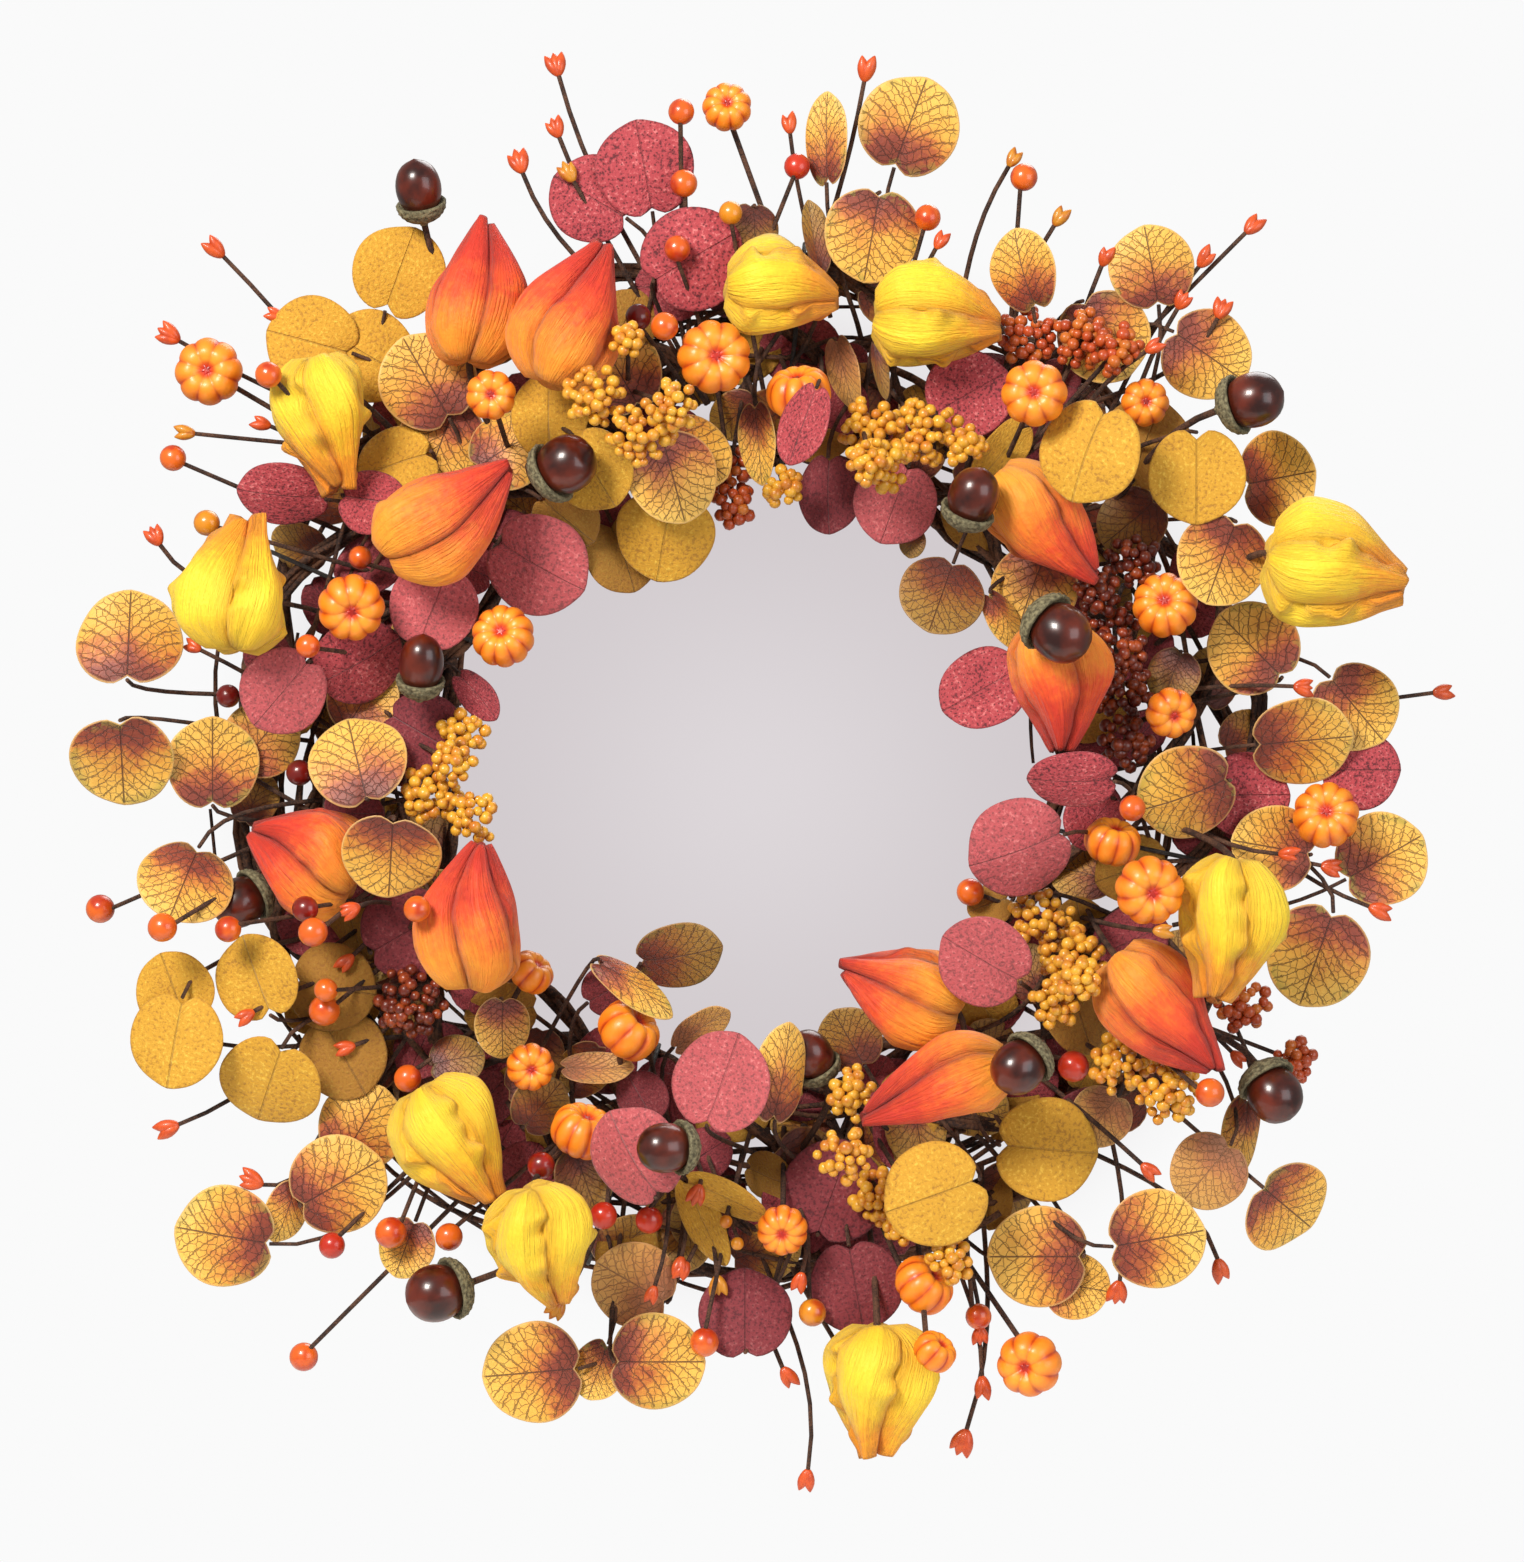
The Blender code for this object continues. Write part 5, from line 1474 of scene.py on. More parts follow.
@dataclass
class Picks:
    """Every leaf, pod and fruit, stacked on the ring from the back to the front.

    Attributes:
        stack: How far forward the pieces reach so far.
        placed: Where the stems start.
        batches: The meshes under construction, by kind.
        beads: The beads of the grain heads.
        leaf_stem: Radius of a leaf's stem, and of a berry's, a bud's and a grain head's, in metres.
        pod_stem: Radius of a pod's stem, and of an acorn's, in metres.
        fillers: Number of undergrowth leaves.
        fillers_round: How many of them go evenly round the whole ring.
    """

    stack: Stack = field(default_factory=Stack)
    placed: list[Placed] = field(default_factory=list)
    batches: dict[str, Batch] = field(default_factory=dict)
    beads: Lines = field(default_factory=Lines)
    leaf_stem: float = 0.0009
    pod_stem: float = 0.0014
    fillers: int = 195
    fillers_round: int = 150

    def __post_init__(self) -> None:
        """Sets the source of chance."""
        self.chance = np.random.default_rng(SEED)

    def put(
        self, shells: dict[str, list[Shell]], row: Row, turn: Matrix, raises: bool = True
    ) -> Vector:
        """Settles one piece made of shells, and adds them to their batches.

        Args:
            shells: Shells by batch name.
            row: The piece's row, which starts with the clock and the reach of its middle.
            turn: Rotation of the piece.
            raises: Whether later pieces rest on it.

        Returns:
            The piece's middle, in world metres.
        """
        spot = ring_point(row[0], row[1], 0.0)
        moved = {name: [shell.moved(turn, spot) for shell in group] for name, group in shells.items()}
        points = np.concatenate([shell.points() for group in moved.values() for shell in group])
        forward = Vector((0, -self.stack.settle(points, raises), 0))
        for name, group in moved.items():
            batch = self.batches.setdefault(name, Batch())
            for shell in group:
                batch.add(shell.moved(Matrix.Identity(3), forward))
        return spot + forward

    def note(self, row: Row, back: Vector, heading: float | None, weight: float) -> None:
        """Notes where a piece's stem starts.

        Args:
            row: The piece's row, which starts with its clock and its reach.
            back: The point where the stem starts, in world metres.
            heading: The clock direction of the piece's tip, or None for a round piece.
            weight: Radius of the stem, in metres.
        """
        self.placed.append(Placed(back, row[0], row[1], heading, weight))

    def leaf(self, kind: LeafKind, row: Row) -> None:
        """Adds one leaf."""
        length, width, heading, _, shade = row[2:]
        long, wide, roll, pitch = foreshortened(length * MM, width * MM)
        chance = self.chance
        sign = 1.0 if chance.random() < 0.5 else -1.0
        shape = Leaf(
            length=long,
            width=wide,
            cup=chance.uniform(-0.075, 0.03),
            fold=chance.uniform(-0.05, 0.05),
            wave=chance.uniform(0.008, 0.03),
            phase=chance.uniform(0, 6.28),
            notch=0.22 if kind is LeafKind.MUSTARD else 0.17,
        )
        turn = facing(heading, roll * sign, pitch * sign)
        shell = shape.shell((chance.random(), float(shade), chance.random()))
        spot = self.put({kind.value: [shell]}, row, turn)
        self.note(row, spot + turn @ Vector((0, -long * 0.43, 0)), heading, 0.0008)

    def pod(self, kind: PodKind, row: Row) -> None:
        """Adds one lantern pod: the yellow ones are blunter, sharper folded and more frilled."""
        length, width, heading, _ = row[2:]
        chance = self.chance
        yellow = kind is PodKind.YELLOW
        shape = Pod(
            length=length * MM,
            width=width * MM * (1.0 if yellow else 1.04),
            petals=4 if yellow or chance.random() < 0.6 else 3,
            crease=0.26,
            pinch=0.3 if yellow else 0.46,
            frill=0.42 if yellow else 0.16,
            blunt=0.12 if yellow else 0.05,
            sharp=0.75 if yellow else 0.4,
            twist=chance.uniform(-0.9, 0.9),
        )
        turn = facing(heading, chance.uniform(-0.25, 0.25), chance.uniform(-0.2, 0.2))
        shell = shape.shell((chance.random(), 0.0, 0.0), chance)
        spot = self.put({kind.value: [shell]}, row, turn)
        self.note(row, spot + turn @ Vector((0, -length * MM * 0.42, 0)), heading, self.pod_stem)

    def pumpkin(self, row: Row) -> None:
        """Adds one small pumpkin, which shows its eye or its side."""
        diameter, to_front, _ = row[2:]
        chance = self.chance
        shape = Pumpkin(diameter * MM, 8 + int(chance.random() * 3))
        tone = (chance.random(), 0.0, 0.0)
        tip = facing(chance.uniform(0, 360), chance.uniform(-0.3, 0.3), chance.uniform(-0.3, 0.3))
        turn = tip if to_front else facing(chance.uniform(-50, 50), 0, -1.15)
        spot = self.put({"pumpkin": [shape.shell(tone)], "eye": [shape.eye(tone)]}, row, turn)
        self.note(row, spot + turn @ Vector((0, 0, -diameter * MM * 0.25)), None, 0.0011)

    def acorn(self, row: Row) -> None:
        """Adds one acorn, with its tip a little to the front."""
        diameter, length, heading, _ = row[2:]
        chance = self.chance
        shape = Acorn(diameter * MM, length * MM)
        tone = (chance.random(), 0.0, 0.0)
        turn = facing(heading, 0.0, 0.45) @ Matrix.Rotation(chance.uniform(0, 6.28), 3, "Y")
        spot = self.put({"nut": [shape.nut(tone)], "cap": [shape.cap(tone)]}, row, turn)
        self.note(row, spot + turn @ Vector((0, -length * MM * 0.5, 0)), heading, self.pod_stem)

    def berry(self, row: Row) -> None:
        """Adds one berry."""
        diameter, _, colour = row[2:]
        chance = self.chance
        size = diameter * MM
        fruit = ball(size, size * 1.02, size, 11, 20)
        fruit.tone = (chance.random(), 0.0, (colour + 1.5) / 4)
        turn = facing(row[0], chance.uniform(-0.6, 0.6), chance.uniform(-0.9, 0.1))
        spot = self.put({"berry": [fruit]}, row, turn)
        self.note(row, spot + turn @ Vector((0, -size * 0.4, 0)), None, self.leaf_stem)

    def bud(self, row: Row) -> None:
        """Adds the two or three pointed buds at the end of a twig."""
        length, heading, _, colour = row[2:]
        chance = self.chance
        base = Vector((0, -length * MM * 0.4, 0))
        shells = []
        for spread in (-15, 13) if chance.random() < 0.7 else (-21, 1, 22):
            size = length * MM * chance.uniform(0.85, 1.05)
            single = ball(size * 0.5, size * 1.12, size * 0.5, 9, 14, 0.75)
            single.tone = (chance.random(), 0.0, float(colour))
            turn = Matrix.Rotation(math.radians(-spread), 3, "Z")
            shells.append(single.moved(turn, turn @ Vector((0, size * 0.5, 0)) + base))
        turn = facing(heading, 0.0, chance.uniform(-0.3, 0.3))
        spot = self.put({"bud": shells}, row, turn, raises=False)
        self.note(row, spot + turn @ base, heading, self.leaf_stem)

    def grain(self, row: Row) -> None:
        """Adds one head of grain: beads in a loose dome, some with a second bead beside them."""
        diameter, _, colour = row[2:]
        chance = self.chance
        half = diameter * MM / 2
        count = int(5 + (diameter / 4.6) ** 2 * 0.95)
        spots = []
        for index in range(count):
            share = math.sqrt((index + 0.5) / count)
            turn = index * GOLDEN + chance.uniform(-0.3, 0.3) + row[0]
            rise = half * 0.75 * (1 - share**2) * chance.uniform(0.7, 1.2)
            spot = Vector((half * share * math.cos(turn), -rise, half * share * math.sin(turn)))
            spots.append((spot, chance.uniform(0.0038, 0.0054)))
        centre = ring_point(row[0], row[1], 0.0)
        ends = [
            (spot.x + centre.x, spot.y + sign * size / 2, spot.z + centre.z)
            for spot, size in spots
            for sign in (-1, 1)
        ]
        centre.y -= self.stack.settle(np.array(ends))
        for spot, size in spots:
            tone = (chance.random(), 0.0, colour / 2)
            self.beads.dot(centre + spot, size, tone, chance.uniform(0, 6.28))
            if spot.y < -half * 0.2 and chance.random() < 0.5:
                side = (chance.uniform(-1, 1), chance.uniform(0.2, 1), chance.uniform(-1, 1))
                beside = Vector(side).normalized() * size * 0.8
                self.beads.dot(centre + spot + beside, size * 0.85, tone, 1.0)
        self.note(row, centre + Vector((0, 0.002, 0)), None, self.leaf_stem)

    def undergrowth(self) -> None:
        """Adds the small leaves, dark with painted shade, that fill the ring behind the picks, most of them low down
        on it.
        """
        chance = self.chance
        kinds = (LeafKind.BURGUNDY, LeafKind.VEINED, LeafKind.BURGUNDY, LeafKind.VEINED, LeafKind.MUSTARD)
        for index in range(self.fillers):
            more = index - self.fillers_round
            clock = 360 / self.fillers_round * index if more < 0 else 125 + 2.9 * more
            clock += chance.uniform(-3, 3)
            reach = RING_REACH + (26, -22, 2)[index % 3] + chance.uniform(-10, 10)
            size = chance.uniform(22, 32) * MM
            turn = facing(chance.uniform(0, 360), chance.uniform(-0.5, 0.5), chance.uniform(-0.5, 0.5))
            shape = Leaf(size, size * 0.85, -0.05, 0.03, 0.02, chance.uniform(0, 6.28), 0.12, steps=24)
            # Painted shade: the shade value darkens each undergrowth leaf, as it lies behind the picks.
            shell = shape.shell((chance.random(), chance.uniform(0.45, 1.0), 0.0))
            height = VINE_FRONT - 0.012 + 0.018 * ((index * 7) % 10) / 10
            batch = self.batches.setdefault(kinds[index % 5].value, Batch())
            batch.add(shell.moved(turn, ring_point(clock, reach, height)))

    def grow(self) -> None:
        """Settles every piece, layer by layer."""
        self.undergrowth()
        jobs: list[tuple[float, Any]] = []
        leaves = ((LeafKind.VEINED, VEINED), (LeafKind.MUSTARD, MUSTARD), (LeafKind.BURGUNDY, BURGUNDY))
        for kind, rows in leaves:
            jobs += [(row[5], partial(self.leaf, kind, row)) for row in rows]
        for kind, rows in ((PodKind.ORANGE, ORANGE_PODS), (PodKind.YELLOW, YELLOW_PODS)):
            jobs += [(row[5], partial(self.pod, kind, row)) for row in rows]
        buds = BUDS + tuple(small_bud(*row) for row in SMALL_BUDS)
        singles = (
            (self.pumpkin, PUMPKINS, 4),
            (self.acorn, ACORNS, 5),
            (self.berry, BERRIES, 3),
            (self.grain, GRAINS, 3),
            (self.bud, buds, 4),
        )
        for add, rows, layer in singles:
            jobs += [(row[layer], partial(add, row)) for row in rows]
        for _, job in sorted(jobs, key=lambda pair: pair[0]):
            job()


@dataclass
class Stems:
    """The taped wires that run from the ring to every pick.

    Attributes:
        foot_radius: Radius of a stem at the ring, in metres.
        sides: Sides of its section.
        points: Points along it.
        foot: Nearest and furthest reach of a foot, in millimetres.
        outer: Reach past which a stem leans to its piece's heading, in millimetres.
        lean: How far the foot of such a stem moves round the ring, as a share of the lean.
        clearance: How far a stem passes in front of the vines, in metres.
    """

    foot_radius: float = 0.001035
    sides: int = 6
    points: int = 10
    foot: tuple[float, float] = (140.0, 178.0)
    outer: float = 185.0
    lean: float = 0.12
    clearance: float = 0.003

    def route(self, piece: Placed, chance: np.random.Generator) -> list[Vector]:
        """The smooth path of one stem, from its piece back to the ring.

        Args:
            piece: Where the piece is.
            chance: Source of the stem's own irregularities.

        Returns:
            The points of the path.
        """
        clock = piece.clock
        if piece.heading is not None and piece.reach > self.outer:
            off = (piece.heading - clock + 180) % 360 - 180
            clock -= self.lean * max(-90.0, min(90.0, off))
        if piece.reach > RING_REACH:
            reach = min(max(piece.reach - 70, self.foot[0]), self.foot[1])
        else:
            reach = 150 + 12 * chance.random()
        root = ring_point(clock + chance.uniform(-9, 9), reach, VINE_FRONT * 0.6)
        back = piece.back
        straight = (root - back).normalized()
        toward = straight if piece.heading is None else facing(piece.heading) @ Vector((0, -1, 0))
        agree = max(0.0, toward.dot(straight))
        bend = back + toward * (root - back).length * (0.06 + 0.4 * agree)
        bend.y = back.y + 0.5 * (root.y - back.y)
        low = root.lerp(back, 0.25)
        low.y = -VINE_FRONT - self.clearance
        return curve_through([back, bend, low, root], self.points)

    def build(self, picks: Picks, finish: bpy.types.Material) -> bpy.types.Object:
        """Builds every stem as one piece."""
        chance = np.random.default_rng(SEED + 1)
        lines = Lines()
        for piece in picks.placed:
            path = self.route(piece, chance)
            lines.run(path, piece.weight, self.foot_radius, chance.random())
        return grown(lines.build("taped_stems"), tube_tree(), {"Sides": self.sides, "Finish": finish})


@dataclass
class VineRing:
    """The ring itself: bundles of thin twigs along each vine, and looser twigs round it.

    Attributes:
        vines: Number of vines.
        twigs_each: Twigs in a vine's bundle, the first of them at its heart.
        loose: Number of loose twigs.
        turns: Times that a vine twists round the ring.
        half_width: How far the vines wander either side of the ring's middle line, in millimetres.
        half_depth: How far they wander to the front and the back, in metres.
        bundle: Distance of the outer twigs from the heart of a bundle, in millimetres.
        heart_radius: Radius of the twig at the heart, in metres.
        twig_radius: Radius of the other twigs of a bundle, in metres.
        loose_radius: Radius of a loose twig at its thick and its thin end, in metres.
        steps: Points along a vine.
        loose_steps: Points along a loose twig.
        sides: Sides of a twig's section.
    """

    vines: int = 6
    twigs_each: int = 5
    loose: int = 120
    turns: int = 3
    half_width: float = 40.0
    half_depth: float = 0.011
    bundle: float = 2.6
    heart_radius: float = 0.0019
    twig_radius: float = 0.0013
    loose_radius: tuple[float, float] = (0.0014, 0.0007)
    steps: int = 96
    loose_steps: int = 14
    sides: int = 6

    def vine_point(self, vine: int, clock: float, offset: float, angle: float) -> Vector:
        """A point on one twig of a vine's bundle.

        Args:
            vine: Number of the vine.
            clock: Clock of the point, in degrees.
            offset: Distance from the heart of the bundle, in millimetres.
            angle: Direction from the heart of the bundle, in radians.

        Returns:
            The point, in world metres.
        """
        phase = math.pi + 2 * math.pi * vine / self.vines + math.radians(clock) * self.turns
        reach = RING_REACH + self.half_width * math.cos(phase) + offset * math.cos(angle)
        height = self.half_depth * math.sin(phase) + offset * MM * math.sin(angle)
        return ring_point(clock, reach, height)

    def bind(self, lines: Lines, chance: np.random.Generator) -> None:
        """Adds the bundle of every vine, its twigs wound round their heart."""
        clocks = [360 * step / self.steps for step in range(self.steps)]
        for vine in range(self.vines):
            for twig in range(self.twigs_each):
                start = 2 * math.pi * twig / self.twigs_each
                offset, radius = (self.bundle, self.twig_radius) if twig else (0.0, self.heart_radius)
                wind = round(chance.uniform(5, 9))
                path = [
                    self.vine_point(vine, clock, offset, start + math.radians(clock) * wind)
                    for clock in clocks
                ]
                lines.loop(path, radius)

    def scatter(self, lines: Lines, chance: np.random.Generator) -> None:
        """Adds the loose twigs, each on a wavy stretch of the ring."""
        for _ in range(self.loose):
            clock = chance.uniform(0, 360)
            span = chance.uniform(25, 70)
            reach = chance.uniform(118, 200)
            drift = chance.uniform(-14, 14)
            height = chance.uniform(-0.008, 0.016)
            path = [
                ring_point(
                    clock + span * share, reach + drift * share + 5 * math.sin(5 * share + clock), height
                )
                for share in np.linspace(0, 1, self.loose_steps)
            ]
            lines.run(path, *self.loose_radius, chance.random())

    def build(self, finish: bpy.types.Material) -> bpy.types.Object:
        """Builds the twigs as one piece."""
        chance = np.random.default_rng(SEED + 2)
        lines = Lines()
        self.bind(lines, chance)
        self.scatter(lines, chance)
        return grown(lines.build("twig_ring"), tube_tree(), {"Sides": self.sides, "Finish": finish})


@dataclass
class TieWires:
    """The wire loops that hold the vines together.

    Attributes:
        radius: Radius of the wire, in metres.
        clocks: Where the loops are, in degrees.
        half_width: Half the width of a loop, in millimetres.
        half_depth: Half the depth of a loop, in metres.
        steps: Points round a loop.
        sides: Sides of the wire's section.
    """

    radius: float = 0.0009
    clocks: tuple[float, ...] = (6.0, 102.0, 198.0, 294.0)
    half_width: float = 44.3
    half_depth: float = 0.0154
    steps: int = 32
    sides: int = 8

    def build(self, finish: bpy.types.Material) -> bpy.types.Object:
        """Builds the loops as one piece."""
        lines = Lines()
        turns = [2 * math.pi * step / self.steps for step in range(self.steps)]
        for clock in self.clocks:
            path = [
                ring_point(
                    clock, RING_REACH + self.half_width * math.cos(turn), self.half_depth * math.sin(turn)
                )
                for turn in turns
            ]
            lines.loop(path, self.radius)
        return grown(lines.build("tie_wires"), tube_tree(), {"Sides": self.sides, "Finish": finish})


# ----------------------------------------------------------------------------------------------- studio


@dataclass
class Studio:
    """A pale floor, a soft backdrop with a painted shadow, three soft lights and the camera.

    Attributes:
        distance: Distance of the camera from the ring, in metres.
        sensor: Width of the sensor, in millimetres.
        view_height: Height that the picture takes in at the ring, in metres.
        aim: How far right of the ring's middle and above it the camera aims, in metres.
        floor_gap: How far the floor is below the wreath, in metres.
        ambient: Strength of the light from the surroundings.
    """

    distance: float = 2.6
    sensor: float = 36.0
    view_height: float = 0.603
    aim: tuple[float, float] = (0.0046, -0.0062)
    floor_gap: float = 0.08
    ambient: float = 0.38

    def camera(self) -> None:
        """Makes the camera, straight on to the wreath."""
        data = bpy.data.cameras.new("camera")
        data.type = "PERSP"
        data.sensor_fit = "AUTO"
        data.sensor_width = self.sensor
        data.lens = self.sensor * self.distance / self.view_height
        data.clip_end = 20
        thing = bpy.data.objects.new("camera", data)
        thing.location = (CENTRE.x + self.aim[0], -self.distance, CENTRE.z + self.aim[1])
        thing.rotation_euler = (math.radians(90), 0, 0)
        bpy.context.scene.collection.objects.link(thing)
        bpy.context.scene.camera = thing

    def light(self, name: str, spot: Vector, size: float, power: float, colour: str) -> None:
        """Makes a soft square light that faces the wreath.

        Args:
            name: Name of the light.
            spot: Its place, in world metres.
            size: Its side, in metres.
            power: Its power, in watts.
            colour: Its colour.
        """
        data = bpy.data.lights.new(name, "AREA")
        data.shape = "SQUARE"
        data.size = size
        data.energy = power
        data.color = linear(colour)[:3]
        thing = bpy.data.objects.new(name, data)
        thing.location = spot
        thing.rotation_euler = (CENTRE - spot).to_track_quat("-Z", "Y").to_euler()
        bpy.context.scene.collection.objects.link(thing)

    def surroundings(self) -> None:
        """Makes the soft white surroundings, with a painted shadow: a little greyer straight behind the wreath, as
        the camera sees it.
        """
        world = bpy.data.worlds.new("soft_white_room")
        bpy.context.scene.world = world
        world.use_nodes = True
        tree = world.node_tree
        tree.nodes.clear()
        lit = add_node(tree, "ShaderNodeBackground", "FFFDF8", self.ambient)
        way = add_node(tree, "ShaderNodeTexCoord")
        off = add_node(
            tree, "ShaderNodeVectorMath", way, (0.0, 1.0, 0.0), out=1, operation="DISTANCE"
        )
        # Painted shadow: the backdrop turns grey straight behind the wreath, where the wreath's shadow would fall.
        painted_shadow_greys = [(0.0, "DDD7DA"), (0.046, "D2CBCE"), (0.085, "FAFAFA")]
        backdrop = add_node(tree, "ShaderNodeValToRGB", off, stops=painted_shadow_greys)
        backdrop.node.color_ramp.interpolation = "EASE"
        seen = add_node(tree, "ShaderNodeBackground", backdrop)
        direct = add_node(tree, "ShaderNodeLightPath")
        mix = add_node(tree, "ShaderNodeMixShader", direct, lit, seen)
        tree.links.new(mix, tree.nodes.new("ShaderNodeOutputWorld").inputs[0])

    def floor(self) -> None:
        """Makes the pale floor, below the wreath and out of the front view."""
        mesh = bpy.data.meshes.new("floor")
        low = CAD_BOX[0][2] - self.floor_gap
        corners = [(-0.5, -0.35, low), (0.5, -0.35, low), (0.5, 0.3, low), (-0.5, 0.3, low)]
        mesh.from_pydata(corners, [], [(0, 1, 2, 3)])
        thing = bpy.data.objects.new("floor", mesh)
        bpy.context.scene.collection.objects.link(thing)
        make = Finish("pale_studio_floor")
        world = make.add("TexCoord", out=3)
        cloud = make.add("TexNoise", world, None, per_metre(333.333))
        colour = make.add("ValToRGB", cloud, stops=[(0.3, "ECEAE8"), (0.7, "F2F1EF")])
        mesh.materials.append(make.end(colour, Roughness=0.9))

    def build(self) -> None:
        """Makes the whole studio."""
        self.camera()
        self.light("key", Vector((-1.0, -1.8, 1.0)), 0.7, 62.0, "FFF9F2")
        self.light("fill", Vector((1.5, -1.6, 0.1)), 1.4, 18.0, "F8FAFF")
        self.light("rim", Vector((0.4, 1.0, 1.2)), 1.0, 12.0, "FFFFFF")
        self.surroundings()
        self.floor()


# ----------------------------------------------------------------------------------------------- wreath

# The dye runs from gold at the round end to red at the tip, so each pod glows from inside.
FOAM_ORANGE = PodFoam(
    name="dyed_foam_orange",
    round_end="F8A028",
    body="F2801C",
    shoulder="E64E1A",
    tip="CC2E16",
    # The crease colour is painted shade.
    crease="A01A0C",
    crease_shade_strength=0.85,
)
# Clear yellow petals, with an orange flush at the tips and an orange painted shade in the folds.
FOAM_YELLOW = PodFoam(
    name="dyed_foam_yellow",
    round_end="F8CB26",
    body="FAD62C",
    shoulder="F7C41E",
    tip="F09A18",
    crease="DE7C0C",
    crease_shade_strength=0.7,
)
# Plain mustard with fine pale flecks: the calm leaves between the veined ones.
MUSTARD_CLOTH = FleckedCloth(
    name="felted_mustard_leaf_cloth",
    dark="AE7A1E",
    body="D09A24",
    light="E8BE44",
    painted_shade_colour="7A4A14",
    under="A87A35",
    fleck_mm=1.5,
    pits=0.12,
)
# Rose and wine red, mottled like suede.
BURGUNDY_CLOTH = FleckedCloth(
    name="felted_burgundy_leaf_cloth",
    dark="5E1620",
    body="B03E46",
    light="DC7C7C",
    painted_shade_colour="52101C",
    under="843438",
    fleck_mm=1.7,
    pits=1.0,
)
# Mahogany under a glossy varnish, which catches one bright light.
NUT_VARNISH = GlossPaint(
    name="varnished_acorn_nut",
    low="2A0805",
    high="64200E",
    grain_mm=11.1111,
    roughness=0.3,
    coat=0.3,
    end="4A1A0E",
    end_place=0.55,
    relief=0.0001,
)
# Grey-green flock without any gloss, so the scales read by their shade alone.
CAP_FLOCK = GlossPaint(
    name="flocked_acorn_cap",
    low="4A4430",
    high="8A8262",
    grain_mm=1.42857,
    roughness=0.85,
    coat=0.0,
    end="5E573E",
    end_place=0.9,
    relief=0.0008,
)
# A dab of red paint in the dimple, which marks the pumpkin's front.
EYE_PAINT = GlossPaint(
    name="pumpkin_eye_paint",
    low="8E1408",
    high="C42410",
    grain_mm=2.5,
    roughness=0.4,
    coat=0.2,
    end="7A1206",
    end_place=0.6,
    relief=0.0002,
)
# Ochre, orange, red and dark red berries with a darker blush and a soft shine.
BERRY_PAINT = TonedPaint(
    name="glazed_foam_berry",
    stops=((0.12, "D98A1C"), (0.37, "E0641A"), (0.62, "C4321A"), (0.87, "70120C")),
    blush="AE1C0E",
    blush_amount=0.8,
    grain_mm=9.09091,
    roughness=0.3,
    coat=0.4,
    spread=0.06,
)
# Red and ochre buds, blotched like dried fruit.
BUD_PAINT = TonedPaint(
    name="painted_foam_bud",
    stops=((0.0, "D2521E"), (1.0, "C9851E")),
    blush="A83414",
    blush_amount=0.55,
    grain_mm=3.33333,
    roughness=0.42,
    coat=0.2,
    spread=0.1,
)
# Ochre, rust and dark brown beads, each a little different from the next.
GRAIN_PAINT = TonedPaint(
    name="painted_foam_grain",
    stops=((0.0, "E2A830"), (0.5, "BC4A1E"), (1.0, "5A1C10")),
    blush="B4501A",
    blush_amount=0.6,
    grain_mm=5.0,
    roughness=0.36,
    coat=0.3,
    spread=0.3,
)
# Crepe paper tape: matt and dark, with paler worn ridges.
TAPE = Bark(name="paper_taped_stem_wire", dark="2E1C15", light="664430", grain_mm=0.714286, roughness=0.75)
# Dry bark: the darkest thing in the ring, which the picks stand out against.
TWIG = Bark(name="dried_vine_bark", dark="2A1710", light="6E4830", grain_mm=1.11111, roughness=0.8)
# Annealed steel under its black scale: darker and smoother than the twigs.
WIRE = Bark(name="annealed_tie_wire", dark="1C1816", light="3E3834", grain_mm=0.4, roughness=0.45)


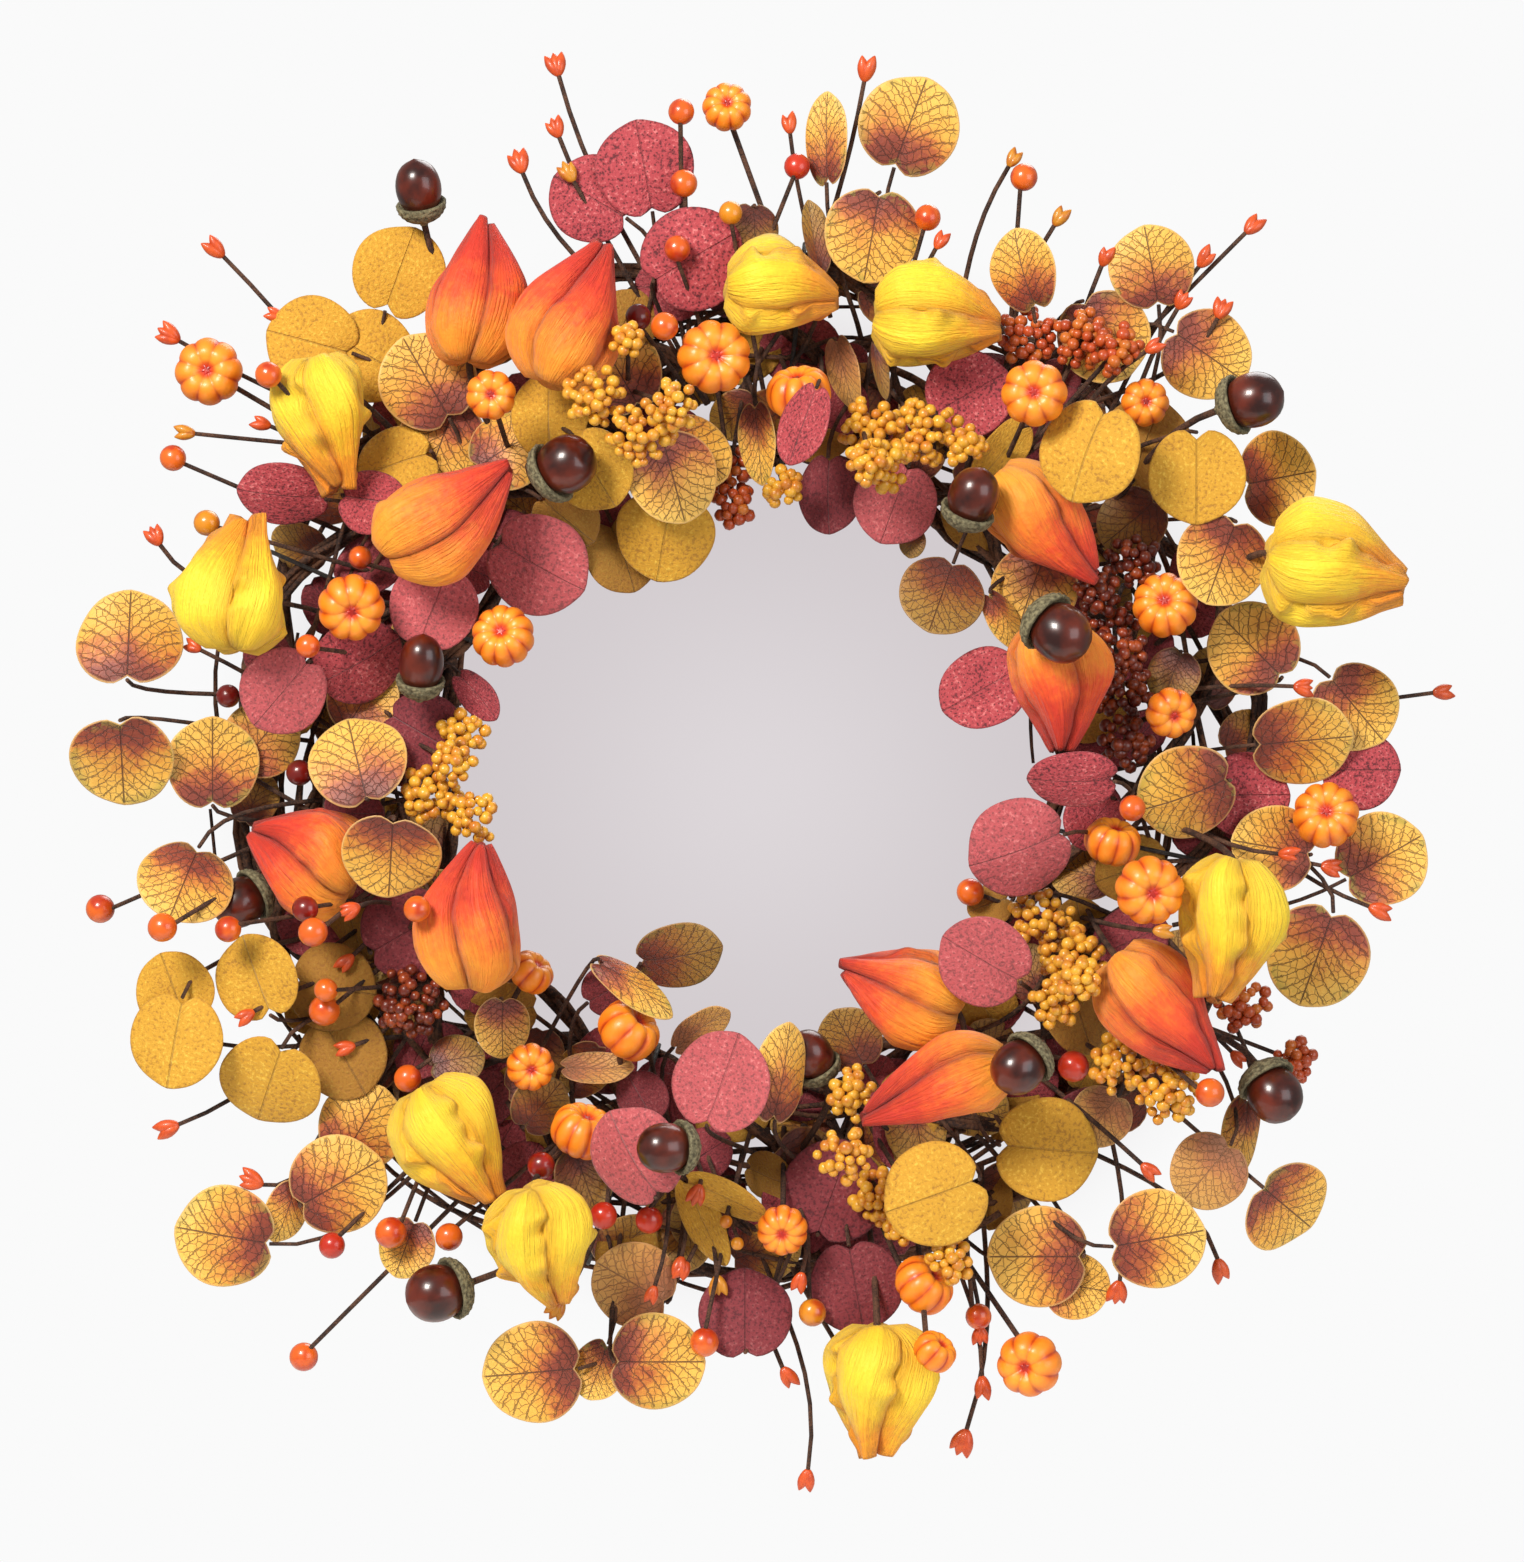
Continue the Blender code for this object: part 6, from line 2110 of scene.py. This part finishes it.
def finish_piece(
    thing: bpy.types.Object, material: bpy.types.Material, nodes: list[str]
) -> None:
    """Dresses a piece and ties it to the frame.

    Args:
        thing: The piece.
        material: Its material.
        nodes: The CAD nodes that it stands for.
    """
    thing.data.materials.clear()
    thing.data.materials.append(material)
    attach(thing, "root")
    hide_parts(*nodes)
    LOG.info("%s: %d faces", thing.name, len(thing.data.polygons))


def main() -> None:
    """Builds the wreath round its frame, then the studio."""
    logging.basicConfig(level=logging.INFO, format="%(message)s")
    sprays, harvest = nodes_like("leaf_spray"), nodes_like("harvest_pick")
    orange, yellow = nodes_like("orange"), nodes_like("yellow")
    picks = Picks()
    picks.grow()
    parts = (
        (LeafKind.VEINED.value, "veined_leaves", PrintedLeafCloth(), "leaf_fabric", sprays),
        (LeafKind.MUSTARD.value, "mustard_leaves", MUSTARD_CLOTH, "leaf_mustard", sprays),
        (LeafKind.BURGUNDY.value, "burgundy_leaves", BURGUNDY_CLOTH, "leaf_burgundy", sprays),
        (PodKind.ORANGE.value, "orange_lantern_pods", FOAM_ORANGE, "orange_lantern", orange),
        (PodKind.YELLOW.value, "yellow_lantern_pods", FOAM_YELLOW, "yellow_lantern", yellow),
        ("pumpkin", "small_pumpkins", PaintedPumpkinSkin(), "harvest_fruit", harvest),
        ("eye", "pumpkin_eyes", EYE_PAINT, "star_dimple", harvest),
        ("nut", "acorn_nuts", NUT_VARNISH, "acorn_nut", harvest),
        ("cap", "acorn_caps", CAP_FLOCK, "acorn_cap", harvest),
        ("berry", "berries", BERRY_PAINT, "berry", harvest),
        ("bud", "twig_buds", BUD_PAINT, "bud", harvest),
    )
    for key, name, finish, slot, nodes in parts:
        finish_piece(picks.batches[key].build(name), finish.build(), nodes)
    grain, tape, twig, wire = (finish.build() for finish in (GRAIN_PAINT, TAPE, TWIG, WIRE))
    beads = grown(picks.beads.build("grain_heads"), bead_tree(), {"Sides": 8, "Rings": 6, "Finish": grain})
    finish_piece(beads, grain, harvest)
    finish_piece(Stems().build(picks, tape), tape, sprays + harvest)
    finish_piece(VineRing().build(twig), twig, nodes_like("vine"))
    finish_piece(TieWires().build(wire), wire, nodes_like("tie"))
    Studio().build()
    bpy.context.scene.view_settings.view_transform = "Standard"


if __name__ == "__main__":
    main()
